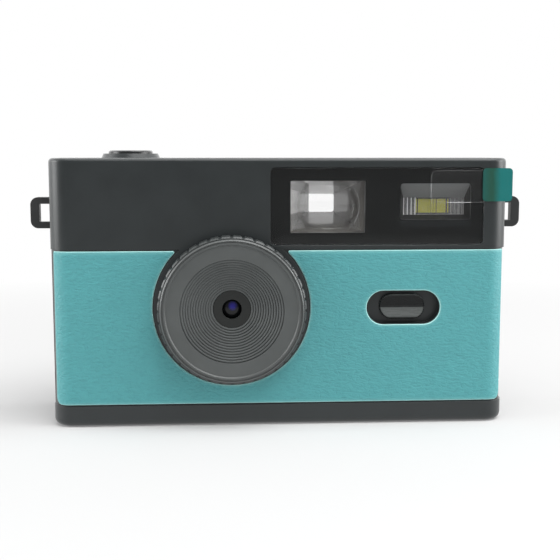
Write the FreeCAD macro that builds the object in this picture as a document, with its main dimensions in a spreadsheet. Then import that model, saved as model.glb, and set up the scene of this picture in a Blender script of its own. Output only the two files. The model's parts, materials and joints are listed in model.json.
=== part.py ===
import FreeCAD, Part
import math
import os

import Sketcher

# A compact digital camera in the style of a simple 35 mm camera, in millimetres.
# +X is to the right as the front is looked at, the front faces -Y and +Z is up.
# The origin is at the middle of the base.

V = FreeCAD.Vector

# Driving dimensions. A depth is counted backwards from the front face of the
# case, and a proud size stands out in front of it or above the top. The upper
# pieces hang from the top: their heights, marked down, are counted down from it.
SIZES = {
    # Case
    "body_width": 118.0,
    "body_height": 69.2,
    "body_depth": 28.0,
    "parting_depth": 14.0,
    "wall": 2.2,
    "corner_radius": 5.0,
    "base_edge_radius": 2.0,
    "top_edge_radius": 1.0,
    # Leatherette
    "leather_bottom": 5.7,
    "leather_top": 23.3,  # down
    "leather_thickness": 0.5,
    "leather_recess": 0.4,
    "recess_wrap": 6.0,
    "leather_wrap": 2.6,
    "leather_hole_radius": 1.25,  # out from ring_radius
    "leather_gap": 0.15,
    # Lens ring and cone
    "lens_x": -12.65,
    "lens_z": 3.6,  # below the middle of the height
    "ring_radius": 18.8,
    "ring_gap": 0.4,
    "ring_edge": 0.4,
    "disc_radius": 1.2,  # in from ring_radius
    "disc_thickness": 1.0,
    "disc_chamfer": 0.3,
    "lens_proud": 7.3,
    "rim_radius": 1.3,  # in from the disc's edge
    "rim_step": 0.3,
    "cone_radius": 4.5,  # in from the disc's edge
    "cone_hole_radius": 4.9,
    "cone_depth": 4.5,
    "cone_steps": 13,
    "cone_skin": 1.2,
    "spigot_length": 1.3,
    "rib_count": 40,
    "rib_cut_radius": 0.55,
    "rib_cut_depth": 0.35,
    "knurl_groove_width": 0.5,
    "knurl_groove_depth": 0.45,
    # Lens mount and barrel
    "mount_radius": 3.3,  # in from ring_radius
    "mount_wall": 1.0,
    "mount_proud": 4.5,
    "mount_floor": 1.2,
    "mount_flange_radius": 18.0,
    "mount_flange": 1.2,
    "running_clearance": 0.06,
    "nose_clearance": 0.1,
    "nose_length": 2.0,
    "barrel_radius": 6.5,
    "barrel_length": 8.0,
    "barrel_front_wall": 1.0,
    "guide_wall": 1.4,
    "pupil_radius": 2.5,
    "glass_radius": 3.6,
    "barrel_bore_gap": 0.05,
    "front_glass_thickness": 2.0,
    "front_glass_ball_radius": 6.0,
    "lens_spacer_length": 1.6,
    "lens_spacer_wall": 0.8,
    "rear_glass_thickness": 2.2,
    "rear_glass_ball_radius": 8.0,
    # Window panel and film
    "panel_left": -2.6,
    "panel_right": 52.3,
    "panel_bottom": 22.2,  # down
    "panel_top": 2.45,  # down
    "panel_corner": 1.3,
    "panel_thickness": 1.0,
    "panel_sunk": 0.1,
    "panel_gap": 0.1,
    "mask_thickness": 0.2,
    "finder_left": 2.5,
    "finder_right": 21.7,
    "finder_bottom": 19.1,  # down
    "finder_top": 5.8,  # down
    "flash_left": 30.7,
    "flash_right": 49.2,
    "flash_bottom": 15.8,  # down
    "flash_top": 6.5,  # down
    "flash_corner": 1.0,
    "film_left": 38.5,
    "film_bottom": 11.4,  # down
    "film_top": 3.2,  # down
    "film_corner": 1.5,
    "film_thickness": 0.15,
    "tab_right": 59.6,
    "tab_bottom": 11.1,  # down
    "tab_top": 2.6,  # down
    "tab_lap": 0.4,
    "tab_corner": 1.0,
    # Viewfinder
    "finder_rim": 1.0,
    "finder_plate": 1.8,
    "finder_disc_radius": 8.25,
    "finder_disc_height": 0.6,
    "finder_ball_radius": 24.0,
    "finder_dish": 1.46,
    "finder_exit_x": 12.0,
    "finder_exit_z": 12.2,  # down
    "finder_exit_width": 10.0,
    "finder_exit_height": 7.1,
    "finder_tube_wall": 0.9,
    "eye_lens_width": 12.0,
    "eye_lens_height": 9.0,
    "eye_lens_thickness": 1.2,
    "eye_lens_ball_radius": 30.0,
    "eyepiece_width": 17.0,
    "eyepiece_height": 12.6,
    "eyepiece_corner": 2.0,
    "eyepiece_flange": 2.0,
    "eyepiece_proud": 1.0,
    "eyepiece_window_width": 10.4,
    "eyepiece_window_height": 7.4,
    # Flash
    "flash_lens_left": 32.4,
    "flash_lens_right": 48.5,
    "flash_lens_bottom": 14.8,  # down
    "flash_lens_top": 10.35,  # down
    "flash_lens_depth": 6.0,
    "flash_lens_thickness": 1.2,
    "flash_lens_lap": 0.5,
    "flash_rib_count": 16,
    "flash_rib_width": 0.7,
    "flash_rib_height": 0.35,
    "reflector_wall": 0.7,
    "reflector_back": 8.6,
    "led_left": 36.4,
    "led_width": 3.6,
    "led_space": 0.8,
    "led_height": 3.6,
    "led_thickness": 0.7,
    "flash_board_thickness": 1.0,
    # Flash switch
    "switch_x": 31.8,
    "switch_z": 30.7,
    "recess_length": 19.0,
    "recess_height": 8.66,
    "recess_depth": 3.0,
    "recess_wall": 1.2,
    "knob_length": 11.9,
    "knob_height": 6.6,
    "knob_sunk": 1.2,
    "knob_gap": 0.3,
    "knob_scoop_radius": 6.0,
    "knob_scoop_depth": 0.8,
    "knob_travel": 2.8,
    "stem_length": 3.0,
    "stem_height": 2.4,
    "lever_width": 1.5,
    "lever_height": 1.2,
    "slide_switch_length": 12.0,
    "slide_switch_height": 4.4,
    "slide_switch_thickness": 2.4,
    "slide_switch_depth": 6.0,
    # Strap lugs
    "lug_depth": 14.0,
    "lug_thickness": 2.6,
    "lug_reach": 6.3,
    "lug_slot": 4.0,
    "lug_bottom": 18.5,  # down
    "lug_height": 8.2,
    "lug_ring": 1.75,
    "lug_corner": 2.0,
    "lug_gap": 0.05,
    "lug_foot_depth": 1.8,
    "lug_foot_lip": 1.0,
    # Shutter release
    "shutter_x": -38.9,
    "shutter_depth": 14.0,
    "bezel_radius": 7.65,
    "bezel_top_radius": 7.15,
    "bezel_height": 1.1,
    "bezel_spigot_radius": 6.9,
    "bezel_spigot_length": 6.7,
    "bezel_floor": 1.0,
    "button_radius": 5.8,
    "button_proud": 1.9,
    "button_thickness": 3.0,
    "button_gap": 0.3,
    "button_travel": 0.8,
    "stem_radius": 1.4,
    "stem_below_floor": 2.2,
    "clip_radius": 2.6,
    "clip_thickness": 0.6,
    "spring_radius": 2.6,
    "spring_wire": 0.35,
    "spring_turns": 3.0,
    "tact_size": 6.0,
    "tact_height": 3.4,
    "tact_plunger_radius": 1.6,
    "tact_plunger": 0.9,
    "shutter_board_length": 13.0,
    "shutter_board_thickness": 1.2,
    "shutter_shelf": 2.0,
    # Main board and what is on it
    "board_left": -55.0,
    "board_right": 55.0,
    "board_bottom": 9.0,
    "board_top": 21.2,  # down
    "board_thickness": 1.2,
    "board_screw_x": 51.5,
    "board_screw_low": 13.0,
    "board_screw_high": 24.2,  # down
    "board_boss_radius": 2.4,
    "holder_size": 16.0,
    "holder_depth": 9.0,
    "holder_bore_radius": 5.2,
    "holder_cavity": 10.0,
    "filter_depth": 11.4,
    "filter_size": 9.6,
    "filter_thickness": 0.5,
    "sensor_width": 7.6,
    "sensor_height": 6.4,
    "sensor_thickness": 1.1,
    "battery_left": 8.5,
    "battery_length": 40.0,
    "battery_bottom": 11.0,
    "battery_height": 27.0,
    "battery_thickness": 5.0,
    "battery_edge": 1.5,
    "plug_left": 1.6,
    "plug_width": 5.0,
    "plug_height": 8.0,
    "plug_thickness": 4.0,
    "processor_x": -14.0,
    "processor_z": 26.0,
    "processor_size": 12.0,
    "processor_thickness": 1.0,
    "memory_x": 4.0,
    "memory_z": 27.0,
    "memory_width": 6.0,
    "memory_height": 5.0,
    "memory_thickness": 0.8,
    # Ports on the side
    "usb_z": 20.0,
    "usb_width": 8.9,
    "usb_thickness": 3.2,
    "usb_length": 7.4,
    "usb_wall": 0.3,
    "usb_tongue": 0.7,
    "usb_flat": 0.02,
    "port_gap": 0.35,
    "port_sunk": 0.4,
    "card_z": 36.0,
    "card_width": 11.0,
    "card_length": 15.0,
    "card_thickness": 0.9,
    "card_gap": 0.3,
    "card_socket_wall": 0.4,
    "card_socket_length": 14.0,
    "card_sunk": 0.2,
    "card_grip_lip": 0.5,
    "card_grip_width": 1.2,
    # Screen
    "screen_x": 8.0,
    "screen_z": 40.2,  # down
    "screen_width": 47.5,
    "screen_height": 36.5,
    "screen_thickness": 2.4,
    "screen_view_width": 42.0,
    "screen_view_height": 32.0,
    "screen_cover_width": 52.0,
    "screen_cover_height": 40.0,
    "screen_cover_corner": 2.0,
    "screen_cover_thickness": 1.0,
    # Rear keys
    "key_x": -45.0,
    "key_low": 12.0,
    "key_pitch": 8.0,
    "key_count": 5,
    "key_radius": 2.7,
    "key_gap": 0.3,
    "key_proud": 0.7,
    "key_travel": 0.35,
    "key_flange_radius": 3.5,
    "key_flange": 0.8,
    "key_dish": 0.25,
    "key_board_width": 9.0,
    "key_board_thickness": 1.0,
    "key_board_margin": 8.6,
    "key_switch_size": 4.6,
    "key_switch_height": 2.4,
    "key_plunger_radius": 1.0,
    "key_plunger": 0.5,
    "key_boss_radius": 2.2,
    # Status light
    "light_x": -2.0,
    "light_z": 12.2,  # down
    "light_radius": 1.2,
    "light_flange_radius": 2.0,
    "light_length": 3.4,
    # Tripod socket
    "tripod_x": 0.0,
    "tripod_depth": 20.0,
    "tripod_bore_radius": 3.175,
    "tripod_radius": 4.6,
    "tripod_length": 8.0,
    "tripod_flange_radius": 5.6,
    "tripod_flange": 1.2,
    # Screws
    "case_screw_low": 5.6,
    "case_screw_high": 5.8,  # down
    "case_boss_radius": 2.3,
    "screw_radius": 0.9,
    "screw_gap": 0.05,
    "screw_head_radius": 1.8,
    "screw_head": 1.1,
    "case_screw_length": 18.0,
    "board_screw_length": 5.0,
    "head_recess": 1.6,
    "cross_width": 0.45,
    "cross_length": 2.2,
    "cross_depth": 0.6,
}


class Size:
    """A number together with the expression on the sheet that gives it."""

    def __init__(self, value, text):
        self.value = value
        self.text = text

    def joined(self, sign, other, value):
        return Size(value, f"({self.text} {sign} {other.text})")

    def __add__(self, other):
        other = as_size(other)
        return self.joined("+", other, self.value + other.value)

    def __sub__(self, other):
        other = as_size(other)
        return self.joined("-", other, self.value - other.value)

    def __mul__(self, other):
        other = as_size(other)
        return self.joined("*", other, self.value * other.value)

    def __truediv__(self, other):
        other = as_size(other)
        return self.joined("/", other, self.value / other.value)

    def __neg__(self):
        return Size(-self.value, f"(0 - {self.text})")


def as_size(number):
    if isinstance(number, Size):
        return number
    return Size(float(number), f"({float(number)})")


class Dims:
    """The spreadsheet of driving dimensions; an attribute is one of its cells."""

    def __init__(self, document):
        self.sheet = document.addObject("Spreadsheet::Sheet", "Dims")
        for row, (name, value) in enumerate(SIZES.items(), 1):
            self.sheet.set(f"A{row}", name)
            self.sheet.set(f"B{row}", str(value))
            self.sheet.setAlias(f"B{row}", name)

    def __getattr__(self, name):
        return Size(float(SIZES[name]), f"Dims.{name}")


doc = FreeCAD.newDocument("retro_camera")
d = Dims(doc)
doc.recompute()

# Places that follow from the driving dimensions

# Heights above the base of what hangs from the top
leather_top = d.body_height - d.leather_top
panel_bottom = d.body_height - d.panel_bottom
panel_top = d.body_height - d.panel_top
finder_bottom = d.body_height - d.finder_bottom
finder_top = d.body_height - d.finder_top
flash_bottom = d.body_height - d.flash_bottom
flash_top = d.body_height - d.flash_top
film_bottom = d.body_height - d.film_bottom
film_top = d.body_height - d.film_top
tab_bottom = d.body_height - d.tab_bottom
tab_top = d.body_height - d.tab_top
finder_exit_z = d.body_height - d.finder_exit_z
flash_lens_bottom = d.body_height - d.flash_lens_bottom
flash_lens_top = d.body_height - d.flash_lens_top
lug_bottom = d.body_height - d.lug_bottom
light_z = d.body_height - d.light_z
case_screw_high = d.body_height - d.case_screw_high
board_top = d.body_height - d.board_top
board_screw_high = d.body_height - d.board_screw_high
screen_z = d.body_height - d.screen_z
lens_z = d.body_height / 2 - d.lens_z

front_y = (d.lens_proud - d.body_depth - d.eyepiece_proud) / 2
half_width = d.body_width / 2
leather_hole_radius = d.ring_radius + d.leather_hole_radius
disc_radius = d.ring_radius - d.disc_radius
rim_radius = disc_radius - d.rim_radius
cone_radius = disc_radius - d.cone_radius
mount_radius = d.ring_radius - d.mount_radius
island_radius = leather_hole_radius - d.leather_gap
panel_back = d.panel_sunk + d.panel_thickness
mask_back = panel_back + d.mask_thickness
board_back = d.parting_depth + d.board_thickness
rear_wall = d.body_depth - d.wall
head_seat = d.body_depth - d.head_recess
ring_face = d.lens_proud - d.disc_thickness
flat_proud = d.lens_proud - d.rim_step
nose_proud = flat_proud - d.cone_depth
nose_radius = d.cone_hole_radius - d.nose_clearance
barrel_shoulder = nose_proud - d.nose_length
lens_guide_radius = d.barrel_radius + d.nose_clearance
recess_back = d.recess_depth + d.recess_wall
exit_left = d.finder_exit_x - d.finder_exit_width / 2
exit_right = d.finder_exit_x + d.finder_exit_width / 2
exit_bottom = finder_exit_z - d.finder_exit_height / 2
exit_top = finder_exit_z + d.finder_exit_height / 2
finder_z = (finder_bottom + finder_top) / 2
finder_lens_back = d.wall + d.finder_plate
eye_lens_depth = rear_wall - d.eye_lens_thickness
reflector_left = d.flash_lens_left - d.flash_lens_lap - d.reflector_wall
reflector_right = d.flash_lens_right + d.flash_lens_lap + d.reflector_wall
reflector_bottom = flash_lens_bottom - d.flash_lens_lap - d.reflector_wall
reflector_top = flash_top + d.reflector_wall
floor_top = d.body_height - d.wall
button_bottom = d.body_height + d.button_proud - d.button_thickness
bezel_bottom = d.body_height - d.bezel_spigot_length
bezel_shelf = bezel_bottom + d.bezel_floor
stem_bottom = bezel_bottom - d.stem_below_floor
plunger_top = stem_bottom - d.button_travel - d.button_gap
tact_top = plunger_top - d.tact_plunger
tact_bottom = tact_top - d.tact_height
shutter_board_bottom = tact_bottom - d.shutter_board_thickness
shelf_bottom = shutter_board_bottom - d.shutter_shelf
usb_right = half_width - d.port_sunk
card_right = half_width - d.card_sunk
card_front = board_back + d.card_socket_wall + d.card_gap
card_socket_thickness = (d.card_socket_wall + d.card_gap) * 2 + d.card_thickness
screen_back = rear_wall - d.screen_thickness
key_flange_back = rear_wall - d.key_gap
key_flange_front = key_flange_back - d.key_flange
key_plunger_tip = key_flange_front - d.key_travel - d.key_gap
key_switch_top = key_plunger_tip - d.key_plunger
key_board_back = key_switch_top - d.key_switch_height
key_board_front = key_board_back - d.key_board_thickness
key_board_low = d.key_low - d.key_board_margin
key_board_high = d.key_low + d.key_pitch * (d.key_count - 1) + d.key_board_margin
key_boss_low = key_board_low + d.key_boss_radius
key_boss_high = key_board_high - d.key_boss_radius
lug_top = lug_bottom + d.lug_height


def behind(depth):
    """The Y of a plane so far behind the front face of the case."""
    return front_y + depth


def proud(height):
    """The Y of a plane so far in front of the front face of the case."""
    return front_y - height


# Tools for the document: bindings, sketches and features

PLANES = {"top": "XY_Plane", "front": "XZ_Plane", "side": "YZ_Plane"}
START, END = 1, 2
ORIGIN = (-1, 1)


def bind(item, name, number):
    """Give a property its value through an expression on the sheet."""
    item.setExpression(name, as_size(number).text)


def body(label):
    item = doc.addObject("PartDesign::Body", label)
    item.Label = label
    return item


def sketch(owner, plane, level=0.0, right=0.0, up=0.0):
    """A sketch on a plane of the body: top at a Z, front at a Y or side at an X.

    Its own origin is moved right and up within the plane.
    """
    item = owner.newObject("Sketcher::SketchObject", f"{owner.Label}_{plane}")
    support = [face for face in owner.Origin.OriginFeatures if face.Role == PLANES[plane]][0]
    item.AttachmentSupport = [(support, "")]
    item.MapMode = "FlatFace"
    bind(item, "AttachmentOffset.Base.x", right)
    bind(item, "AttachmentOffset.Base.y", up)
    bind(item, "AttachmentOffset.Base.z", -as_size(level) if plane == "front" else level)
    return item


def constrain(item, kind, *parts):
    """Add a constraint; a Size among its parts is a dimension bound to the sheet."""
    numbers = [part for part in parts if isinstance(part, Size)]
    plain = [part.value if isinstance(part, Size) else part for part in parts]
    index = item.addConstraint(Sketcher.Constraint(kind, *plain))
    for number in numbers:
        item.setExpression(f"Constraints[{index}]", number.text)


def line(item, start, end):
    points = [V(point[0].value, point[1].value, 0) for point in (start, end)]
    return item.addGeometry(Part.LineSegment(*points), False)


def circle(item, across, height, radius):
    across, height = as_size(across), as_size(height)
    shape = Part.Circle(V(across.value, height.value, 0), V(0, 0, 1), radius.value)
    index = item.addGeometry(shape, False)
    constrain(item, "Radius", index, radius)
    constrain(item, "DistanceX", *ORIGIN, index, 3, across)
    constrain(item, "DistanceY", *ORIGIN, index, 3, height)


def polygon(item, points):
    """A closed outline of straight lines through (across, height) points."""
    points = [(as_size(across), as_size(height)) for across, height in points]
    count = len(points)
    lines = [line(item, points[i], points[(i + 1) % count]) for i in range(count)]
    for i in range(count):
        constrain(item, "Coincident", lines[i - 1], END, lines[i], START)
    for i, (across, height) in enumerate(points):
        last_across, last_height = points[i - 1]
        if i and across.text == last_across.text:
            constrain(item, "Vertical", lines[i - 1])
        else:
            constrain(item, "DistanceX", *ORIGIN, lines[i], START, across)
        if i and height.text == last_height.text:
            constrain(item, "Horizontal", lines[i - 1])
        else:
            constrain(item, "DistanceY", *ORIGIN, lines[i], START, height)


def corner_arc(item, corner, before, after, radius):
    """An arc that rounds a square corner between two level or upright sides."""
    r = radius.value
    x, y = corner[0].value, corner[1].value
    step_in = ((before[0].value - x), (before[1].value - y))
    step_out = ((after[0].value - x), (after[1].value - y))
    along_in = [math.copysign(1, part) if abs(part) > 1e-9 else 0 for part in step_in]
    along_out = [math.copysign(1, part) if abs(part) > 1e-9 else 0 for part in step_out]
    centre = V(x + r * (along_in[0] + along_out[0]), y + r * (along_in[1] + along_out[1]), 0)
    first = math.atan2(y + r * along_in[1] - centre.y, x + r * along_in[0] - centre.x)
    last = math.atan2(y + r * along_out[1] - centre.y, x + r * along_out[0] - centre.x)
    left_turn = along_in[0] * along_out[1] - along_in[1] * along_out[0] < 0
    if not left_turn:
        first, last = last, first
    arc = Part.ArcOfCircle(Part.Circle(centre, V(0, 0, 1), r), first, last)
    index = item.addGeometry(arc, False)
    constrain(item, "Radius", index, radius)
    return (index, START, END) if left_turn else (index, END, START)


def outline(item, corners):
    """A closed outline of level and upright sides.

    Each corner is (across, height) or (across, height, radius of its rounding).
    """
    points = [(as_size(corner[0]), as_size(corner[1])) for corner in corners]
    radii = [corner[2] if len(corner) > 2 else None for corner in corners]
    count = len(points)
    lines = []
    for i in range(count):
        start, end = points[i], points[(i + 1) % count]
        lines.append(line(item, start, end))
    for i in range(count):
        start, end = points[i], points[(i + 1) % count]
        if abs(start[1].value - end[1].value) < 1e-9:
            constrain(item, "Horizontal", lines[i])
            constrain(item, "DistanceY", *ORIGIN, lines[i], START, start[1])
        else:
            constrain(item, "Vertical", lines[i])
            constrain(item, "DistanceX", *ORIGIN, lines[i], START, start[0])
    for i, radius in enumerate(radii):
        before, after = lines[i - 1], lines[i]
        if radius is None:
            constrain(item, "Coincident", before, END, after, START)
            continue
        arc, arc_start, arc_end = corner_arc(
            item, points[i], points[i - 1], points[(i + 1) % count], radius
        )
        constrain(item, "Tangent", before, END, arc, arc_start)
        constrain(item, "Tangent", arc, arc_end, after, START)


def box_outline(item, left, right, bottom, top, radius=None):
    corners = [(left, bottom), (right, bottom), (right, top), (left, top)]
    outline(item, [corner if radius is None else (*corner, radius) for corner in corners])


def centred_box(item, across, height, width, tall, radius=None):
    across, height = as_size(across), as_size(height)
    left, right = across - width / 2, across + width / 2
    box_outline(item, left, right, height - tall / 2, height + tall / 2, radius)


def oval(item, across, height, length, tall):
    """A level slot shape with round ends, by its centre, length and height."""
    across, height = as_size(across), as_size(height)
    radius = tall / 2
    reach = length / 2 - radius
    left, right = across - reach, across + reach
    bottom, top = height - radius, height + radius
    low = line(item, (left, bottom), (right, bottom))
    high = line(item, (right, top), (left, top))
    ends = []
    for centre, turn in ((right, -math.pi / 2), (left, math.pi / 2)):
        round_end = Part.Circle(V(centre.value, height.value, 0), V(0, 0, 1), radius.value)
        ends.append(item.addGeometry(Part.ArcOfCircle(round_end, turn, turn + math.pi), False))
    loop = [low, ends[0], high, ends[1]]
    for first, second in zip(loop, loop[1:] + loop[:1]):
        constrain(item, "Tangent", first, END, second, START)
    constrain(item, "Horizontal", low)
    constrain(item, "Equal", ends[0], ends[1])
    constrain(item, "Radius", ends[0], radius)
    constrain(item, "DistanceX", *ORIGIN, ends[0], 3, right)
    constrain(item, "DistanceX", *ORIGIN, ends[1], 3, left)
    constrain(item, "DistanceY", *ORIGIN, ends[0], 3, height)


def feature(owner, kind, profile):
    item = owner.newObject(f"PartDesign::{kind}", f"{owner.Label}_{kind.lower()}")
    item.Profile = profile
    return item


def pad(owner, profile, length, against=False):
    """Add material along the sketch's normal (a front sketch's points to -Y), or against it."""
    item = feature(owner, "Pad", profile)
    bind(item, "Length", length)
    item.Reversed = against
    return item


def pocket(owner, profile, depth, along=False):
    """Cut against the sketch's normal, as a pocket does, or along it."""
    item = feature(owner, "Pocket", profile)
    bind(item, "Length", depth)
    item.Reversed = along
    return item


def turned(owner, profile, kind="Revolution"):
    """Turn a profile about its sketch's upright axis, to add or to cut."""
    item = feature(owner, kind, profile)
    item.ReferenceAxis = (profile, ["V_Axis"])
    item.Angle = 360
    return item


def loft(owner, kind, sections):
    item = feature(owner, kind, sections[0])
    item.Sections = sections[1:]
    item.Ruled = True
    return item


def round_edges(owner, last, wanted, radius, kind="Fillet"):
    """Fillet or chamfer the edges of a feature that a test picks out."""
    doc.recompute()
    edges = enumerate(last.Shape.Edges, 1)
    names = [f"Edge{index}" for index, edge in edges if wanted(edge)]
    item = owner.newObject(f"PartDesign::{kind}", f"{owner.Label}_{kind.lower()}")
    item.Base = (last, names)
    bind(item, "Size" if kind == "Chamfer" else "Radius", radius)
    return item


def lies_at(edge, z=None, y=None):
    """Whether an edge lies wholly in a level plane, or in an upright one that faces the front."""
    box = edge.BoundBox
    at_z = z is None or (abs(box.ZMin - z.value) < 1e-4 and abs(box.ZMax - z.value) < 1e-4)
    at_y = y is None or (abs(box.YMin - y.value) < 1e-4 and abs(box.YMax - y.value) < 1e-4)
    return at_z and at_y


def lens_axis_profile(owner):
    """A sketch whose upright axis is the optical axis, with its origin on the front face."""
    return sketch(owner, "top", lens_z, right=d.lens_x, up=front_y)


# Tools for pieces made of primitives


def block(name, x, y, z):
    """A box between two places along each axis."""
    item = doc.addObject("Part::Box", name)
    for prop, axis, (low, high) in (("Length", "x", x), ("Width", "y", y), ("Height", "z", z)):
        low, high = as_size(low), as_size(high)
        bind(item, prop, high - low)
        bind(item, f"Placement.Base.{axis}", low)
    return item


def span(centre, width):
    """The two ends of a width about its centre."""
    centre = as_size(centre)
    return centre - width / 2, centre + width / 2


def depths(front, back):
    """The Y places of two depths behind the front face."""
    return behind(front), behind(back)


def place(item, x, y, z, upright=True):
    """Stand a primitive at a place, along +Z or laid along +Y."""
    if not upright:
        item.Placement = FreeCAD.Placement(V(), FreeCAD.Rotation(V(1, 0, 0), -90))
    for axis, number in (("x", x), ("y", y), ("z", z)):
        bind(item, f"Placement.Base.{axis}", number)
    return item


def rod(name, radius, length, x, y, z, upright=True):
    item = doc.addObject("Part::Cylinder", name)
    bind(item, "Radius", radius)
    bind(item, "Height", length)
    return place(item, x, y, z, upright)


def ball(name, radius, x, y, z):
    item = doc.addObject("Part::Sphere", name)
    bind(item, "Radius", radius)
    return place(item, x, y, z)


def cut(label, base, tool):
    item = doc.addObject("Part::Cut", label)
    item.Base, item.Tool = base, tool
    item.Label = label
    return item


def common(label, first, second):
    item = doc.addObject("Part::Common", label)
    item.Base, item.Tool = first, second
    item.Label = label
    return item


def fused(label, first, second):
    item = doc.addObject("Part::Fuse", label)
    item.Base, item.Tool = first, second
    item.Label = label
    return item


def group(label, pieces):
    """Separate solids that share one node."""
    item = doc.addObject("Part::Compound", label)
    item.Links = pieces
    item.Label = label
    return item


def named(label, item):
    item.Label = label
    return item


# Case


def plan_outline(item, inset, front, back, rounded_front):
    """The case's outline from above, between two depths, drawn in by an inset.

    The corners at its front, or else at its back, are rounded.
    """
    left, right = inset - half_width, half_width - inset
    radius = (d.corner_radius - inset,)
    near, far = (radius, ()) if rounded_front else ((), radius)
    outline(item, [
        (left, behind(front), *near),
        (right, behind(front), *near),
        (right, behind(back), *far),
        (left, behind(back), *far),
    ])


def half_shell(owner, front, back, rounded_front):
    """One half of the case: its rounded outside, hollowed to the wall."""
    outside = sketch(owner, "top")
    plan_outline(outside, as_size(0), front, back, rounded_front)
    block_out = pad(owner, outside, d.body_height)
    parting = behind(d.parting_depth)
    base = round_edges(
        owner, block_out,
        lambda edge: lies_at(edge, z=as_size(0)) and not lies_at(edge, y=parting),
        d.base_edge_radius,
    )
    round_edges(
        owner, base,
        lambda edge: lies_at(edge, z=d.body_height) and not lies_at(edge, y=parting),
        d.top_edge_radius,
    )
    inside = sketch(owner, "top", d.wall)
    if rounded_front:
        plan_outline(inside, d.wall, front + d.wall, back, rounded_front)
    else:
        plan_outline(inside, d.wall, front, back - d.wall, rounded_front)
    pocket(owner, inside, floor_top - d.wall, along=True)


def boss(owner, x, z, radius, start, end):
    """A round boss between two depths, towards the back."""
    profile = sketch(owner, "front", behind(start))
    circle(profile, x, z, radius)
    pad(owner, profile, end - start, against=True)


def hole(owner, x, z, radius, start, end):
    """A round hole between two depths, towards the back."""
    profile = sketch(owner, "front", behind(start))
    circle(profile, x, z, radius)
    pocket(owner, profile, end - start)


def shutter_cut(owner):
    """The half of the shutter's hole that falls in this half of the case."""
    profile = sketch(owner, "top", d.body_height, right=d.shutter_x, up=behind(d.shutter_depth))
    circle(profile, 0, 0, d.bezel_spigot_radius + d.running_clearance)
    pocket(owner, profile, d.wall)


def lug_cuts(owner):
    """The slots at the parting that hold the two strap lugs."""
    for side in (-1, 1):
        profile = sketch(owner, "side", (half_width - d.wall) * side)
        box_outline(
            profile,
            behind(d.lug_depth - d.lug_thickness / 2 - d.lug_gap),
            behind(d.lug_depth + d.lug_thickness / 2 + d.lug_gap),
            lug_bottom - d.lug_gap,
            lug_top + d.lug_gap,
        )
        pocket(owner, profile, d.wall, along=side > 0)


case_screw_x = half_width - d.corner_radius - d.screw_head_radius - d.screw_gap * 2
CASE_SCREW_PLACES = [
    (case_screw_x * side, height)
    for side in (-1, 1)
    for height in (d.case_screw_low, case_screw_high)
]
BOARD_SCREW_PLACES = [
    (d.board_screw_x * side, height)
    for side in (-1, 1)
    for height in (d.board_screw_low, board_screw_high)
]
KEY_SCREW_PLACES = [(d.key_x, height) for height in (key_boss_low, key_boss_high)]


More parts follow.
